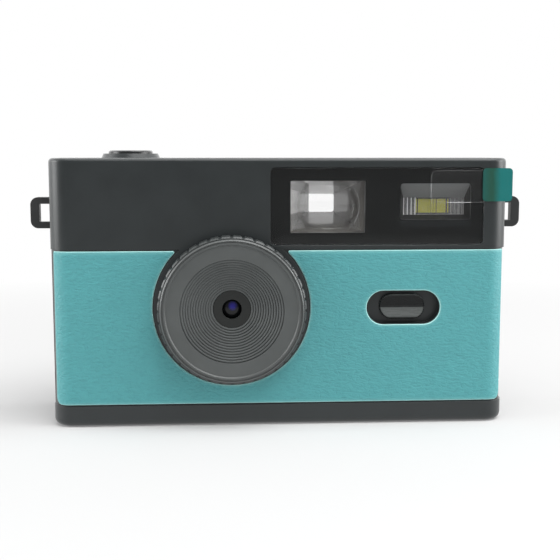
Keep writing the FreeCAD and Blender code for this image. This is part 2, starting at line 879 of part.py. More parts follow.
def make_front_cover():
    owner = body("front_cover")
    half_shell(owner, as_size(0), d.parting_depth, True)

    # The sunk band that the leatherette lies in, and the round island in the middle of it
    band = sketch(owner, "top", d.leather_bottom - d.leather_gap)
    inside = half_width - d.leather_recess
    outside = half_width + d.corner_radius
    floor_radius = d.corner_radius - d.leather_recess
    outline(band, [
        (-outside, behind(d.recess_wrap)),
        (-outside, proud(d.corner_radius)),
        (outside, proud(d.corner_radius)),
        (outside, behind(d.recess_wrap)),
        (inside, behind(d.recess_wrap)),
        (inside, behind(d.leather_recess), floor_radius),
        (-inside, behind(d.leather_recess), floor_radius),
        (-inside, behind(d.recess_wrap)),
    ])
    band_height = leather_top - d.leather_bottom + d.leather_gap * 2
    pocket(owner, band, band_height, along=True)
    island = sketch(owner, "front", behind(d.leather_recess))
    circle(island, d.lens_x, lens_z, island_radius)
    pad(owner, island, d.leather_recess)

    # Thicker wall behind the window panel and behind the switch recess
    thick = sketch(owner, "front", behind(d.wall))
    box_outline(thick, d.panel_left, d.panel_right, panel_bottom, panel_top - d.panel_corner)
    pad(owner, thick, mask_back + d.panel_gap, against=True)
    window_room = sketch(owner, "front", behind(d.wall))
    box_outline(
        window_room, d.finder_left - d.finder_rim * 2, reflector_right + d.finder_rim,
        finder_bottom - d.finder_rim * 2, panel_top - d.panel_corner,
    )
    pocket(owner, window_room, mask_back + d.panel_gap * 2)
    tub = sketch(owner, "front", behind(d.wall))
    oval(
        tub, d.switch_x, d.switch_z,
        d.recess_length + d.recess_wall * 2, d.recess_height + d.recess_wall * 2,
    )
    pad(owner, tub, recess_back - d.wall, against=True)

    panel = sketch(owner, "front", behind(as_size(0)))
    box_outline(
        panel, d.panel_left - d.panel_gap, d.panel_right + d.panel_gap,
        panel_bottom - d.panel_gap, panel_top + d.panel_gap, d.panel_corner,
    )
    pocket(owner, panel, mask_back)
    for left, right, bottom, top in (
        (d.finder_left, d.finder_right, finder_bottom, finder_top),
        (d.flash_left, d.flash_right, flash_bottom, flash_top),
    ):
        window = sketch(owner, "front", behind(as_size(0)))
        box_outline(window, left, right, bottom, top)
        pocket(owner, window, d.wall + mask_back)

    # Switch recess with its slot, and the hole for the lens mount
    recess = sketch(owner, "front", behind(as_size(0)))
    oval(recess, d.switch_x, d.switch_z, d.recess_length, d.recess_height)
    pocket(owner, recess, d.recess_depth)
    slot = sketch(owner, "front", behind(d.recess_depth))
    centred_box(
        slot, d.switch_x, d.switch_z,
        d.stem_length + (d.knob_travel + d.knob_gap) * 2, d.stem_height + d.knob_gap * 2,
    )
    pocket(owner, slot, d.recess_wall)
    hole(owner, d.lens_x, lens_z, mount_radius + d.running_clearance, as_size(0), d.wall)

    # Bosses for the case and board screws, and the shelf of the shutter board
    for x, z in CASE_SCREW_PLACES:
        boss(owner, x, z, d.case_boss_radius, d.wall, d.parting_depth)
    for x, z in BOARD_SCREW_PLACES:
        boss(owner, x, z, d.board_boss_radius, d.wall, d.parting_depth)
    for x, z in CASE_SCREW_PLACES:
        reach = head_seat - d.case_screw_length
        hole(owner, x, z, d.screw_radius + d.screw_gap, reach, d.parting_depth)
    for x, z in BOARD_SCREW_PLACES:
        reach = board_back - d.board_screw_length
        hole(owner, x, z, d.screw_radius + d.screw_gap, reach, d.parting_depth)
    shelf = sketch(owner, "front", behind(d.wall))
    box_outline(
        shelf, d.shutter_x - d.shutter_board_length / 2, d.shutter_x + d.shutter_board_length / 2,
        shelf_bottom, shutter_board_bottom,
    )
    pad(owner, shelf, d.parting_depth - d.wall, against=True)
    shutter_cut(owner)
    lug_cuts(owner)
    return owner


def make_rear_cover():
    owner = body("rear_cover")
    half_shell(owner, d.parting_depth, d.body_depth, False)

    for x, z in CASE_SCREW_PLACES:
        boss(owner, x, z, d.case_boss_radius, d.parting_depth, rear_wall)
    for x, z in KEY_SCREW_PLACES:
        boss(owner, x, z, d.key_boss_radius, key_board_back, rear_wall)
    for x, z in KEY_SCREW_PLACES:
        reach = key_board_front + d.board_screw_length
        hole(owner, x, z, d.screw_radius + d.screw_gap, key_board_back, reach)
    for x, z in CASE_SCREW_PLACES:
        hole(owner, x, z, d.screw_radius + d.screw_gap, d.parting_depth, d.body_depth)
        hole(owner, x, z, d.screw_head_radius + d.screw_gap * 2, head_seat, d.body_depth)

    # Screen: the view hole and the sunk seat of its cover
    view = sketch(owner, "front", behind(rear_wall))
    centred_box(view, d.screen_x, screen_z, d.screen_view_width, d.screen_view_height)
    pocket(owner, view, d.wall)
    seat = sketch(owner, "front", behind(d.body_depth))
    gap = d.panel_gap * 2
    centred_box(
        seat, d.screen_x, screen_z, d.screen_cover_width + gap, d.screen_cover_height + gap,
        d.screen_cover_corner,
    )
    pocket(owner, seat, d.screen_cover_thickness, along=True)

    # Eyepiece, status light and key holes
    eyepiece = sketch(owner, "front", behind(rear_wall))
    centred_box(
        eyepiece, d.finder_exit_x, finder_exit_z,
        d.eyepiece_width - d.eyepiece_flange, d.eyepiece_height - d.eyepiece_flange,
        d.eyepiece_corner,
    )
    pocket(owner, eyepiece, d.wall)
    hole(owner, d.light_x, light_z, d.light_radius + d.screw_gap, rear_wall, d.body_depth)
    for index in range(int(d.key_count.value)):
        z = d.key_low + d.key_pitch * index
        hole(owner, d.key_x, z, d.key_radius + d.key_gap, rear_wall, d.body_depth)

    # Ports in the side wall
    usb = sketch(owner, "side", half_width - d.wall)
    oval_in_side(usb, board_back + d.usb_thickness / 2, d.usb_z, d.usb_width, d.usb_thickness)
    pocket(owner, usb, d.wall, along=True)
    card = sketch(owner, "side", half_width - d.wall)
    box_outline(
        card,
        behind(card_front - d.card_gap), behind(card_front + d.card_thickness + d.card_gap),
        d.card_z - d.card_width / 2 - d.card_gap, d.card_z + d.card_width / 2 + d.card_gap,
    )
    pocket(owner, card, d.wall, along=True)

    tripod = sketch(owner, "top", as_size(0), right=d.tripod_x, up=behind(d.tripod_depth))
    circle(tripod, 0, 0, d.tripod_radius + d.screw_gap)
    pocket(owner, tripod, d.wall, along=True)
    shutter_cut(owner)
    lug_cuts(owner)
    return owner


def oval_in_side(item, depth, z, width, thickness):
    """The upright oval of the socket's mouth in a side sketch, with its gap."""
    gap = d.port_gap
    radius = (thickness - d.usb_flat) / 2 + gap
    box_outline(
        item, behind(depth - thickness / 2 - gap), behind(depth + thickness / 2 + gap),
        z - width / 2 - gap, z + width / 2 + gap, radius,
    )


# Leatherette


def leather_band(item):
    """A thin band that lies on the sunk front of the case and turns with both corners.

    Seen from above it ends where it has wrapped back by a given depth.
    """
    centre_x, centre_y = half_width - d.corner_radius, behind(d.corner_radius)
    inner = d.corner_radius - d.leather_recess
    outer = inner + d.leather_thickness
    drop = d.corner_radius - d.leather_wrap
    arcs = []
    for radius in (outer, inner):
        tilt = math.asin(drop.value / radius.value)
        for side in (-1, 1):
            first, last = (-math.pi / 2, -tilt) if side > 0 else (math.pi + tilt, 1.5 * math.pi)
            middle = V(side * centre_x.value, centre_y.value, 0)
            shape = Part.Circle(middle, V(0, 0, 1), radius.value)
            arc = item.addGeometry(Part.ArcOfCircle(shape, first, last), False)
            constrain(item, "Radius", arc, radius)
            constrain(item, "DistanceX", *ORIGIN, arc, 3, centre_x * side)
            constrain(item, "DistanceY", *ORIGIN, arc, 3, centre_y)
            free_end = END if side > 0 else START
            constrain(item, "DistanceY", *ORIGIN, arc, free_end, centre_y - drop)
            arcs.append(arc)
    outer_left, outer_right, inner_left, inner_right = arcs
    for left, right, radius in ((outer_left, outer_right, outer), (inner_left, inner_right, inner)):
        y = centre_y - radius
        flat = line(item, (-centre_x, y), (centre_x, y))
        constrain(item, "Tangent", left, END, flat, START)
        constrain(item, "Tangent", flat, END, right, START)
    for inside, outside, end, side in (
        (inner_left, outer_left, START, -1), (inner_right, outer_right, END, 1),
    ):
        ends = []
        for radius in (inner, outer):
            reach = math.sqrt(radius.value ** 2 - drop.value ** 2)
            x = as_size(side * (centre_x.value + reach))
            ends.append((x, centre_y - drop))
        closing = line(item, *ends)
        constrain(item, "Coincident", inside, end, closing, START)
        constrain(item, "Coincident", closing, END, outside, end)


def make_leather_skin():
    owner = body("leather_skin")
    band = sketch(owner, "top", d.leather_bottom)
    leather_band(band)
    pad(owner, band, leather_top - d.leather_bottom)
    face = proud(d.leather_thickness - d.leather_recess)
    round_cut = sketch(owner, "front", face)
    circle(round_cut, d.lens_x, lens_z, leather_hole_radius)
    pocket(owner, round_cut, d.leather_thickness)
    switch_cut = sketch(owner, "front", face)
    oval(switch_cut, d.switch_x, d.switch_z, d.recess_length, d.recess_height)
    pocket(owner, switch_cut, d.leather_thickness)
    return owner


# Window panel and film


def make_window_panel():
    owner = body("window_panel")
    profile = sketch(owner, "front", behind(panel_back))
    box_outline(
        profile, d.panel_left, d.panel_right, panel_bottom, panel_top, d.panel_corner
    )
    pad(owner, profile, d.panel_thickness)
    return owner


def make_panel_mask():
    owner = body("panel_mask")
    profile = sketch(owner, "front", behind(mask_back))
    box_outline(
        profile, d.panel_left, d.panel_right, panel_bottom, panel_top, d.panel_corner
    )
    box_outline(profile, d.finder_left, d.finder_right, finder_bottom, finder_top)
    box_outline(
        profile, d.flash_left, d.flash_right, flash_bottom, flash_top, d.flash_corner
    )
    pad(owner, profile, d.mask_thickness)
    return owner


def make_protective_film():
    owner = body("protective_film")
    profile = sketch(owner, "front", behind(d.panel_sunk))
    outline(profile, [
        (d.film_left, film_bottom),
        (d.panel_right, film_bottom),
        (d.panel_right, film_top),
        (d.film_left, film_top, d.film_corner),
    ])
    pad(owner, profile, d.film_thickness)
    return owner


def make_film_pull_tab():
    owner = body("film_pull_tab")
    profile = sketch(owner, "front", behind(d.panel_sunk - d.film_thickness))
    box_outline(
        profile, d.panel_right - d.tab_lap, d.tab_right, tab_bottom, tab_top, d.tab_corner
    )
    pad(owner, profile, d.film_thickness)
    return owner


# Viewfinder


def make_viewfinder_front_lens():
    owner = body("viewfinder_front_lens")
    plate = sketch(owner, "front", behind(finder_lens_back))
    box_outline(
        plate, d.finder_left - d.finder_rim, d.finder_right + d.finder_rim,
        finder_bottom - d.finder_rim, finder_top + d.finder_rim,
    )
    pad(owner, plate, d.finder_plate)
    disc = sketch(owner, "front", behind(d.wall))
    centred_box(
        disc, d.finder_exit_x, finder_z,
        d.finder_disc_radius * 2, finder_top - finder_bottom - d.panel_gap * 2,
    )
    pad(owner, disc, d.finder_disc_height)
    corners = sketch(owner, "front", behind(d.wall - d.finder_disc_height))
    circle(corners, d.finder_exit_x, finder_exit_z, d.finder_disc_radius * 2)
    circle(corners, d.finder_exit_x, finder_exit_z, d.finder_disc_radius)
    pocket(owner, corners, d.finder_disc_height)
    dish = sketch(
        owner, "top", finder_exit_z, right=d.finder_exit_x, up=behind(finder_lens_back)
    )
    bowl(dish, d.finder_ball_radius, d.finder_dish)
    turned(owner, dish, "Groove")
    return owner


def bowl(item, radius, depth):
    """Half the section of a shallow round bowl, sunk towards -Y from the sketch's origin."""
    depth_value, radius_value = depth.value, radius.value
    rim = math.sqrt(radius_value ** 2 - (radius_value - depth_value) ** 2)
    centre = V(0, radius_value - depth_value, 0)
    tilt = math.atan2(-centre.y, rim)
    arc = item.addGeometry(
        Part.ArcOfCircle(Part.Circle(centre, V(0, 0, 1), radius_value), -math.pi / 2, tilt), False
    )
    axis = item.addGeometry(Part.LineSegment(V(0, 0, 0), V(0, -depth_value, 0)), False)
    level = item.addGeometry(Part.LineSegment(V(rim, 0, 0), V(0, 0, 0)), False)
    constrain(item, "Coincident", axis, END, arc, START)
    constrain(item, "Coincident", arc, END, level, START)
    constrain(item, "Coincident", level, END, axis, START)
    constrain(item, "Coincident", axis, START, *ORIGIN)
    constrain(item, "Vertical", axis)
    constrain(item, "Horizontal", level)
    constrain(item, "PointOnObject", arc, 3, -2)
    constrain(item, "Radius", arc, radius)
    constrain(item, "DistanceY", axis, END, axis, START, depth)


def make_viewfinder_tube():
    owner = body("viewfinder_tube")
    wall = d.finder_tube_wall
    front, back = behind(finder_lens_back), behind(eye_lens_depth)

    def section(level, grow, left, right, bottom, top):
        item = sketch(owner, "front", level)
        box_outline(item, left - grow, right + grow, bottom - grow, top + grow)
        return item

    wide = (d.finder_left, d.finder_right, finder_bottom, finder_top)
    narrow = (exit_left, exit_right, exit_bottom, exit_top)
    loft(owner, "AdditiveLoft", [section(front, wall, *wide), section(back, wall, *narrow)])
    loft(owner, "SubtractiveLoft", [
        section(front, as_size(0), *wide), section(back, as_size(0), *narrow)
    ])
    return owner


def make_viewfinder_rear_lens():
    plate = block(
        "eye_lens_plate", span(d.finder_exit_x, d.eye_lens_width),
        depths(eye_lens_depth, rear_wall + d.eye_lens_thickness),
        span(finder_exit_z, d.eye_lens_height),
    )
    dome = ball(
        "eye_lens_ball", d.eye_lens_ball_radius, d.finder_exit_x,
        behind(rear_wall + d.eye_lens_thickness / 2 - d.eye_lens_ball_radius), finder_exit_z,
    )
    return common("viewfinder_rear_lens", plate, dome)


def make_eyepiece_frame():
    owner = body("eyepiece_frame")
    gap = d.panel_gap * 2
    flange = sketch(owner, "front", behind(d.body_depth))
    centred_box(
        flange, d.finder_exit_x, finder_exit_z, d.eyepiece_width, d.eyepiece_height,
        d.eyepiece_corner,
    )
    pad(owner, flange, d.eyepiece_proud, against=True)
    collar = sketch(owner, "front", behind(d.body_depth))
    centred_box(
        collar, d.finder_exit_x, finder_exit_z,
        d.eyepiece_width - d.eyepiece_flange - gap, d.eyepiece_height - d.eyepiece_flange - gap,
        d.eyepiece_corner,
    )
    pad(owner, collar, d.wall)
    lens_seat = sketch(owner, "front", behind(rear_wall))
    centred_box(
        lens_seat, d.finder_exit_x, finder_exit_z, d.eye_lens_width + gap, d.eye_lens_height + gap
    )
    pocket(owner, lens_seat, d.eye_lens_thickness / 2 + d.panel_gap)
    window = sketch(owner, "front", behind(rear_wall))
    centred_box(
        window, d.finder_exit_x, finder_exit_z,
        d.eyepiece_window_width, d.eyepiece_window_height, d.flash_corner,
    )
    pocket(owner, window, d.wall + d.eyepiece_proud)
    return owner


# Flash


def make_flash_reflector():
    owner = body("flash_reflector")
    case = sketch(owner, "front", behind(d.wall))
    box_outline(case, reflector_left, reflector_right, reflector_bottom, reflector_top)
    pad(owner, case, d.reflector_back - d.wall, against=True)
    mouth = sketch(owner, "front", behind(d.wall))
    box_outline(mouth, d.flash_left, d.flash_right, flash_bottom, flash_top)
    throat = sketch(owner, "front", behind(d.flash_lens_depth))
    box_outline(
        throat, d.flash_lens_left, d.flash_lens_right, flash_lens_bottom, flash_lens_top
    )
    loft(owner, "SubtractiveLoft", [mouth, throat])
    lens_room = sketch(owner, "front", behind(d.flash_lens_depth))
    lap = d.flash_lens_lap
    box_outline(
        lens_room, d.flash_lens_left - lap, d.flash_lens_right + lap,
        flash_lens_bottom - lap, flash_lens_top + lap,
    )
    pocket(owner, lens_room, d.reflector_back - d.flash_lens_depth)
    return owner


def make_flash_lens():
    owner = body("flash_lens")
    lap = d.flash_lens_lap - d.panel_gap
    back = behind(d.flash_lens_depth + d.flash_lens_thickness)
    plate = sketch(owner, "front", back)
    box_outline(
        plate, d.flash_lens_left - lap, d.flash_lens_right + lap,
        flash_lens_bottom - lap, flash_lens_top + lap,
    )
    pad(owner, plate, d.flash_lens_thickness)
    rib = sketch(owner, "top", flash_lens_bottom + d.panel_gap)
    pitch = (d.flash_lens_right - d.flash_lens_left) / d.flash_rib_count
    left = d.flash_lens_left + (pitch - d.flash_rib_width) / 2
    y = behind(d.flash_lens_depth)
    polygon(rib, [
        (left, y),
        (left + d.flash_rib_width / 2, y - d.flash_rib_height),
        (left + d.flash_rib_width, y),
    ])
    height = flash_lens_top - flash_lens_bottom - d.panel_gap * 2
    first = pad(owner, rib, height)
    ribs = owner.newObject("PartDesign::LinearPattern", "flash_lens_ribs")
    ribs.Originals = [first]
    ribs.Direction = (rib, ["H_Axis"])
    bind(ribs, "Length", pitch * (d.flash_rib_count - 1))
    bind(ribs, "Occurrences", d.flash_rib_count)
    owner.Tip = ribs
    return owner


def make_flash_leds():
    chips = []
    middle = (flash_lens_bottom + flash_lens_top) / 2
    for index in range(2):
        left = d.led_left + (d.led_width + d.led_space) * index
        chips.append(block(
            f"led_chip_{index}", (left, left + d.led_width),
            depths(d.reflector_back - d.led_thickness, d.reflector_back),
            span(middle, d.led_height),
        ))
    return group("flash_leds", chips)


def make_flash_board():
    return named("flash_board", block(
        "flash_board_plate", (reflector_left, reflector_right),
        depths(d.reflector_back, d.reflector_back + d.flash_board_thickness),
        (reflector_bottom, reflector_top),
    ))


# Lens


def make_focus_ring():
    owner = body("focus_ring")
    profile = lens_axis_profile(owner)
    bore = mount_radius + d.running_clearance
    outer = d.ring_radius
    edge = d.ring_edge
    middle = (ring_face + d.ring_gap) / 2
    groove = d.knurl_groove_width / 2
    polygon(profile, [
        (bore, -ring_face),
        (outer - edge, -ring_face),
        (outer, -ring_face + edge),
        (outer, -middle - groove),
        (outer - d.knurl_groove_depth, -middle - groove / 2),
        (outer - d.knurl_groove_depth, -middle + groove / 2),
        (outer, -middle + groove),
        (outer, -d.ring_gap - edge),
        (outer - edge, -d.ring_gap),
        (bore, -d.ring_gap),
    ])
    turned(owner, profile)
    cutter = sketch(owner, "front", proud(ring_face), right=d.lens_x, up=lens_z)
    circle(cutter, d.ring_radius + d.rib_cut_radius - d.rib_cut_depth, 0, d.rib_cut_radius)
    first = pocket(owner, cutter, ring_face - d.ring_gap)
    knurl = owner.newObject("PartDesign::PolarPattern", "focus_ring_knurl")
    knurl.Originals = [first]
    knurl.Axis = (cutter, ["N_Axis"])
    knurl.Angle = 360
    bind(knurl, "Occurrences", d.rib_count)
    owner.Tip = knurl
    return owner


def make_lens_cone():
    owner = body("lens_cone")
    profile = lens_axis_profile(owner)
    face, flat, back = -d.lens_proud, -flat_proud, -ring_face
    tread = (cone_radius - d.cone_hole_radius) / d.cone_steps
    riser = d.cone_depth / d.cone_steps
    spigot = mount_radius
    points = [
        (disc_radius, back),
        (disc_radius, face + d.disc_chamfer),
        (disc_radius - d.disc_chamfer, face),
        (rim_radius, face),
        (rim_radius, flat),
        (cone_radius, flat),
    ]
    for step in range(int(d.cone_steps.value)):
        radius = cone_radius - tread * step
        depth = flat + riser * (step + 1)
        points.append((radius, depth))
        points.append((radius - tread, depth))
    points += [
        (d.cone_hole_radius, -nose_proud + d.cone_skin),
        (d.cone_hole_radius + d.cone_skin, -nose_proud + d.cone_skin),
        (cone_radius + d.cone_skin, back + d.spigot_length / 2),
        (cone_radius + d.cone_skin, back + d.spigot_length),
        (spigot, back + d.spigot_length),
        (spigot, back),
    ]
    polygon(profile, points)
    turned(owner, profile)
    return owner


def make_lens_mount():
    owner = body("lens_mount")
    profile = lens_axis_profile(owner)
    outer, inner = mount_radius, mount_radius - d.mount_wall
    guide = lens_guide_radius
    back = d.wall
    floor_front = back - d.mount_floor
    tail = d.holder_depth - d.key_gap
    polygon(profile, [
        (inner, -d.mount_proud),
        (outer, -d.mount_proud),
        (outer, back),
        (d.mount_flange_radius, back),
        (d.mount_flange_radius, back + d.mount_flange),
        (guide + d.guide_wall, back + d.mount_flange),
        (guide + d.guide_wall, tail),
        (guide, tail),
        (guide, floor_front),
        (inner, floor_front),
    ])
    turned(owner, profile)
    return owner


def make_lens_barrel():
    owner = body("lens_barrel")
    profile = lens_axis_profile(owner)
    bore = d.glass_radius + d.barrel_bore_gap
    tail = -barrel_shoulder + d.barrel_length
    polygon(profile, [
        (d.pupil_radius, -nose_proud),
        (nose_radius, -nose_proud),
        (nose_radius, -barrel_shoulder),
        (d.barrel_radius, -barrel_shoulder),
        (d.barrel_radius, tail),
        (bore, tail),
        (bore, -nose_proud + d.barrel_front_wall),
        (d.pupil_radius, -nose_proud + d.barrel_front_wall),
    ])
    turned(owner, profile)
    return owner


glass_front = -nose_proud + d.barrel_front_wall
spacer_front = glass_front + d.front_glass_thickness
rear_glass_front = spacer_front + d.lens_spacer_length


def make_lens_front_element():
    cylinder = rod(
        "front_glass_rod", d.glass_radius, d.front_glass_thickness,
        d.lens_x, behind(glass_front), lens_z, upright=False,
    )
    dome = ball(
        "front_glass_ball", d.front_glass_ball_radius,
        d.lens_x, behind(glass_front + d.front_glass_ball_radius), lens_z,
    )
    return common("lens_front_element", cylinder, dome)


def make_lens_spacer():
    outer = rod(
        "lens_spacer_outer", d.glass_radius, d.lens_spacer_length,
        d.lens_x, behind(spacer_front), lens_z, upright=False,
    )
    inner = rod(
        "lens_spacer_inner", d.glass_radius - d.lens_spacer_wall, d.lens_spacer_length,
        d.lens_x, behind(spacer_front), lens_z, upright=False,
    )
    return cut("lens_spacer", outer, inner)


def make_lens_rear_element():
    cylinder = rod(
        "rear_glass_rod", d.glass_radius, d.rear_glass_thickness,
        d.lens_x, behind(rear_glass_front), lens_z, upright=False,
    )
    tail = rear_glass_front + d.rear_glass_thickness
    dome = ball(
        "rear_glass_ball", d.rear_glass_ball_radius,
        d.lens_x, behind(tail - d.rear_glass_ball_radius), lens_z,
    )
    return common("lens_rear_element", cylinder, dome)


def make_lens_holder():
    owner = body("lens_holder")
    case = sketch(owner, "front", behind(d.holder_depth))
    centred_box(case, d.lens_x, lens_z, d.holder_size, d.holder_size)
    pad(owner, case, d.parting_depth - d.holder_depth, against=True)
    hole(owner, d.lens_x, lens_z, d.holder_bore_radius, d.holder_depth, d.filter_depth)
    cavity = sketch(owner, "front", behind(d.filter_depth))
    centred_box(cavity, d.lens_x, lens_z, d.holder_cavity, d.holder_cavity)
    pocket(owner, cavity, d.parting_depth - d.filter_depth)
    tail_room = sketch(owner, "front", behind(d.holder_depth))
    circle(tail_room, d.lens_x, lens_z, lens_guide_radius)
    pocket(owner, tail_room, d.mount_floor)
    return owner


def make_ir_filter():
    return named("ir_filter", block(
        "filter_plate", span(d.lens_x, d.filter_size),
        depths(d.filter_depth, d.filter_depth + d.filter_thickness),
        span(lens_z, d.filter_size),
    ))


def make_image_sensor():
    return named("image_sensor", block(
        "sensor_chip", span(d.lens_x, d.sensor_width),
        depths(d.parting_depth - d.sensor_thickness, d.parting_depth),
        span(lens_z, d.sensor_height),
    ))


# Flash switch


def make_flash_switch_knob():
    owner = body("flash_switch_knob")
    floor = d.recess_depth - d.knob_gap
    cap = sketch(owner, "front", behind(floor))
    oval(cap, d.switch_x, d.switch_z, d.knob_length, d.knob_height)
    top = pad(owner, cap, floor - d.knob_sunk)
    face = behind(d.knob_sunk)
    round_edges(owner, top, lambda edge: lies_at(edge, y=face), d.knob_gap)
    stem = sketch(owner, "front", behind(floor))
    centred_box(stem, d.switch_x, d.switch_z, d.stem_length, d.stem_height)
    stem_end = d.slide_switch_depth - d.knob_gap
    pad(owner, stem, stem_end - floor, against=True)
    scoop = sketch(owner, "side", d.switch_x - d.knob_length / 2 + d.knob_gap * 3)
    circle(
        scoop, behind(d.knob_sunk + d.knob_scoop_depth - d.knob_scoop_radius), d.switch_z,
        d.knob_scoop_radius,
    )
    pocket(owner, scoop, d.knob_length - d.knob_gap * 6, along=True)
    socket = sketch(owner, "front", behind(stem_end))
    centred_box(
        socket, d.switch_x, d.switch_z, d.lever_width, d.lever_height
    )
    pocket(owner, socket, d.recess_wall, along=True)
    return owner


def make_switch_lever():
    stem_end = d.slide_switch_depth - d.knob_gap
    lever = block(
        "lever_bar", span(d.switch_x, d.lever_width),
        depths(stem_end - d.recess_wall, d.slide_switch_depth + d.slide_switch_thickness / 2),
        span(d.switch_z, d.lever_height),
    )
    return named("switch_lever", lever)


def make_slide_switch():
    case = block(
        "slide_switch_case", span(d.switch_x, d.slide_switch_length),
        depths(d.slide_switch_depth, d.slide_switch_depth + d.slide_switch_thickness),
        span(d.switch_z, d.slide_switch_height),
    )
    gap = d.knob_gap
    groove = block(
        "slide_switch_slot", span(d.switch_x, d.lever_width + (d.knob_travel + gap) * 2),
        depths(d.slide_switch_depth, d.slide_switch_depth + d.slide_switch_thickness / 2 + gap),
        span(d.switch_z, d.lever_height + gap * 2),
    )
    return cut("slide_switch", case, groove)


# Shutter release


def shutter_profile(owner, level):
    """A sketch whose upright axis is the shutter's, with its origin at a height."""
    return sketch(owner, "front", behind(d.shutter_depth), right=d.shutter_x, up=level)


def make_shutter_bezel():
    owner = body("shutter_bezel")
    profile = shutter_profile(owner, d.body_height)
    bore = d.button_radius + d.button_gap
    polygon(profile, [
        (d.bezel_radius, 0),
        (d.bezel_top_radius, d.bezel_height),
        (bore, d.bezel_height),
        (bore, bezel_shelf - d.body_height),
        (d.stem_radius + d.button_gap, bezel_shelf - d.body_height),
        (d.stem_radius + d.button_gap, -d.bezel_spigot_length),
        (d.bezel_spigot_radius, -d.bezel_spigot_length),
        (d.bezel_spigot_radius, 0),
    ])
    turned(owner, profile)
    return owner


def make_shutter_button():
    owner = body("shutter_button")
    profile = shutter_profile(owner, d.body_height)
    top = d.button_proud
    low = top - d.button_thickness
    edge = d.button_gap
    polygon(profile, [
        (0, top - edge),
        (d.button_radius - edge * 4, top),
        (d.button_radius - edge, top),
        (d.button_radius, top - edge),
        (d.button_radius, low),
        (d.stem_radius, low),
        (d.stem_radius, stem_bottom - d.body_height),
        (0, stem_bottom - d.body_height),
    ])
    turned(owner, profile)
    return owner


def make_shutter_clip():
    """A split ring in the stem's end that keeps the button from coming out."""
    level = bezel_bottom - d.clip_thickness - d.button_gap
    y = behind(d.shutter_depth)
    outer = rod("clip_outer", d.clip_radius, d.clip_thickness, d.shutter_x, y, level)
    inner = rod("clip_inner", d.stem_radius, d.clip_thickness, d.shutter_x, y, level)
    ring = cut("clip_ring", outer, inner)
    mouth = block(
        "clip_mouth", span(d.shutter_x, d.stem_radius), (y, y + d.clip_radius),
        (level, level + d.clip_thickness),
    )
    return cut("shutter_clip", ring, mouth)


def make_shutter_spring():
    helix = doc.addObject("Part::Helix", "spring_path")
    coil_bottom = bezel_shelf + d.spring_wire / 2
    coil_height = button_bottom - bezel_shelf - d.spring_wire
    bind(helix, "Pitch", coil_height / d.spring_turns)
    bind(helix, "Height", coil_height)
    bind(helix, "Radius", d.spring_radius)
    place(helix, d.shutter_x, behind(d.shutter_depth), coil_bottom)
    wire = doc.addObject("Part::Circle", "spring_wire")
    bind(wire, "Radius", d.spring_wire / 2)
    wire.Placement = FreeCAD.Placement(V(), FreeCAD.Rotation(V(1, 0, 0), 90))
    bind(wire, "Placement.Base.x", d.shutter_x + d.spring_radius)
    bind(wire, "Placement.Base.y", behind(d.shutter_depth))
    bind(wire, "Placement.Base.z", coil_bottom)
    coil = doc.addObject("Part::Sweep", "shutter_spring")
    coil.Sections = [wire]
    coil.Spine = (helix, ["Edge1"])
    coil.Solid = True
    coil.Frenet = True
    return named("shutter_spring", coil)


def make_shutter_switch():
    y = behind(d.shutter_depth)
    case = block(
        "tact_case", span(d.shutter_x, d.tact_size), span(y, d.tact_size), (tact_bottom, tact_top)
    )
    plunger = rod("tact_plunger", d.tact_plunger_radius, d.tact_plunger, d.shutter_x, y, tact_top)
    return fused("shutter_switch", case, plunger)


def make_shutter_board():
    return named("shutter_board", block(
        "shutter_board_plate", span(d.shutter_x, d.shutter_board_length),
        depths(d.wall + d.key_gap, d.parting_depth + d.tact_size),
        (shutter_board_bottom, tact_bottom),
    ))


# Main board and battery


def make_main_board():
    owner = body("main_board")
    plate = sketch(owner, "front", behind(d.parting_depth))
    box_outline(plate, d.board_left, d.board_right, d.board_bottom, board_top)
    pad(owner, plate, d.board_thickness, against=True)
    for x, z in BOARD_SCREW_PLACES:
        hole(owner, x, z, d.screw_radius + d.screw_gap, d.parting_depth, board_back)
    return owner


def make_battery():
    owner = body("battery")
    front = d.parting_depth - d.battery_thickness
    profile = sketch(owner, "side", d.battery_left)
    box_outline(
        profile, behind(front), behind(d.parting_depth),
        d.battery_bottom, d.battery_bottom + d.battery_height, d.battery_edge,
    )
    pad(owner, profile, d.battery_length)
    return owner


def make_battery_connector():
    return named("battery_connector", block(
        "connector_case", (d.plug_left, d.plug_left + d.plug_width),
        depths(d.parting_depth - d.plug_thickness, d.parting_depth),
        (d.battery_bottom, d.battery_bottom + d.plug_height),
    ))


def make_chip(label, x, z, width, height, thickness):
    return named(label, block(
        f"{label}_case", span(x, width), depths(board_back, board_back + thickness),
        span(z, height),
    ))


# Ports


def make_usb_port():
    """A drawn steel shell with an oval mouth and the contact tongue in it."""
    owner = body("usb_port")
    middle = board_back + d.usb_thickness / 2
    shell = sketch(owner, "side", usb_right - d.usb_length)
    radius = (d.usb_thickness - d.usb_flat) / 2
    box_outline(
        shell, behind(board_back), behind(board_back + d.usb_thickness),
        d.usb_z - d.usb_width / 2, d.usb_z + d.usb_width / 2, radius,
    )
    pad(owner, shell, d.usb_length)
    mouth = sketch(owner, "side", usb_right)
    wall = d.usb_wall
    box_outline(
        mouth, behind(board_back + wall), behind(board_back + d.usb_thickness - wall),
        d.usb_z - d.usb_width / 2 + wall, d.usb_z + d.usb_width / 2 - wall, radius - wall,
    )
    pocket(owner, mouth, d.usb_length - d.usb_tongue)
    tongue = sketch(owner, "side", usb_right - d.usb_length + d.usb_tongue / 2)
    box_outline(
        tongue, behind(middle - d.usb_tongue / 2), behind(middle + d.usb_tongue / 2),
        d.usb_z - d.usb_width / 4, d.usb_z + d.usb_width / 4,
    )
    pad(owner, tongue, d.usb_length - d.usb_tongue * 2)
    return owner


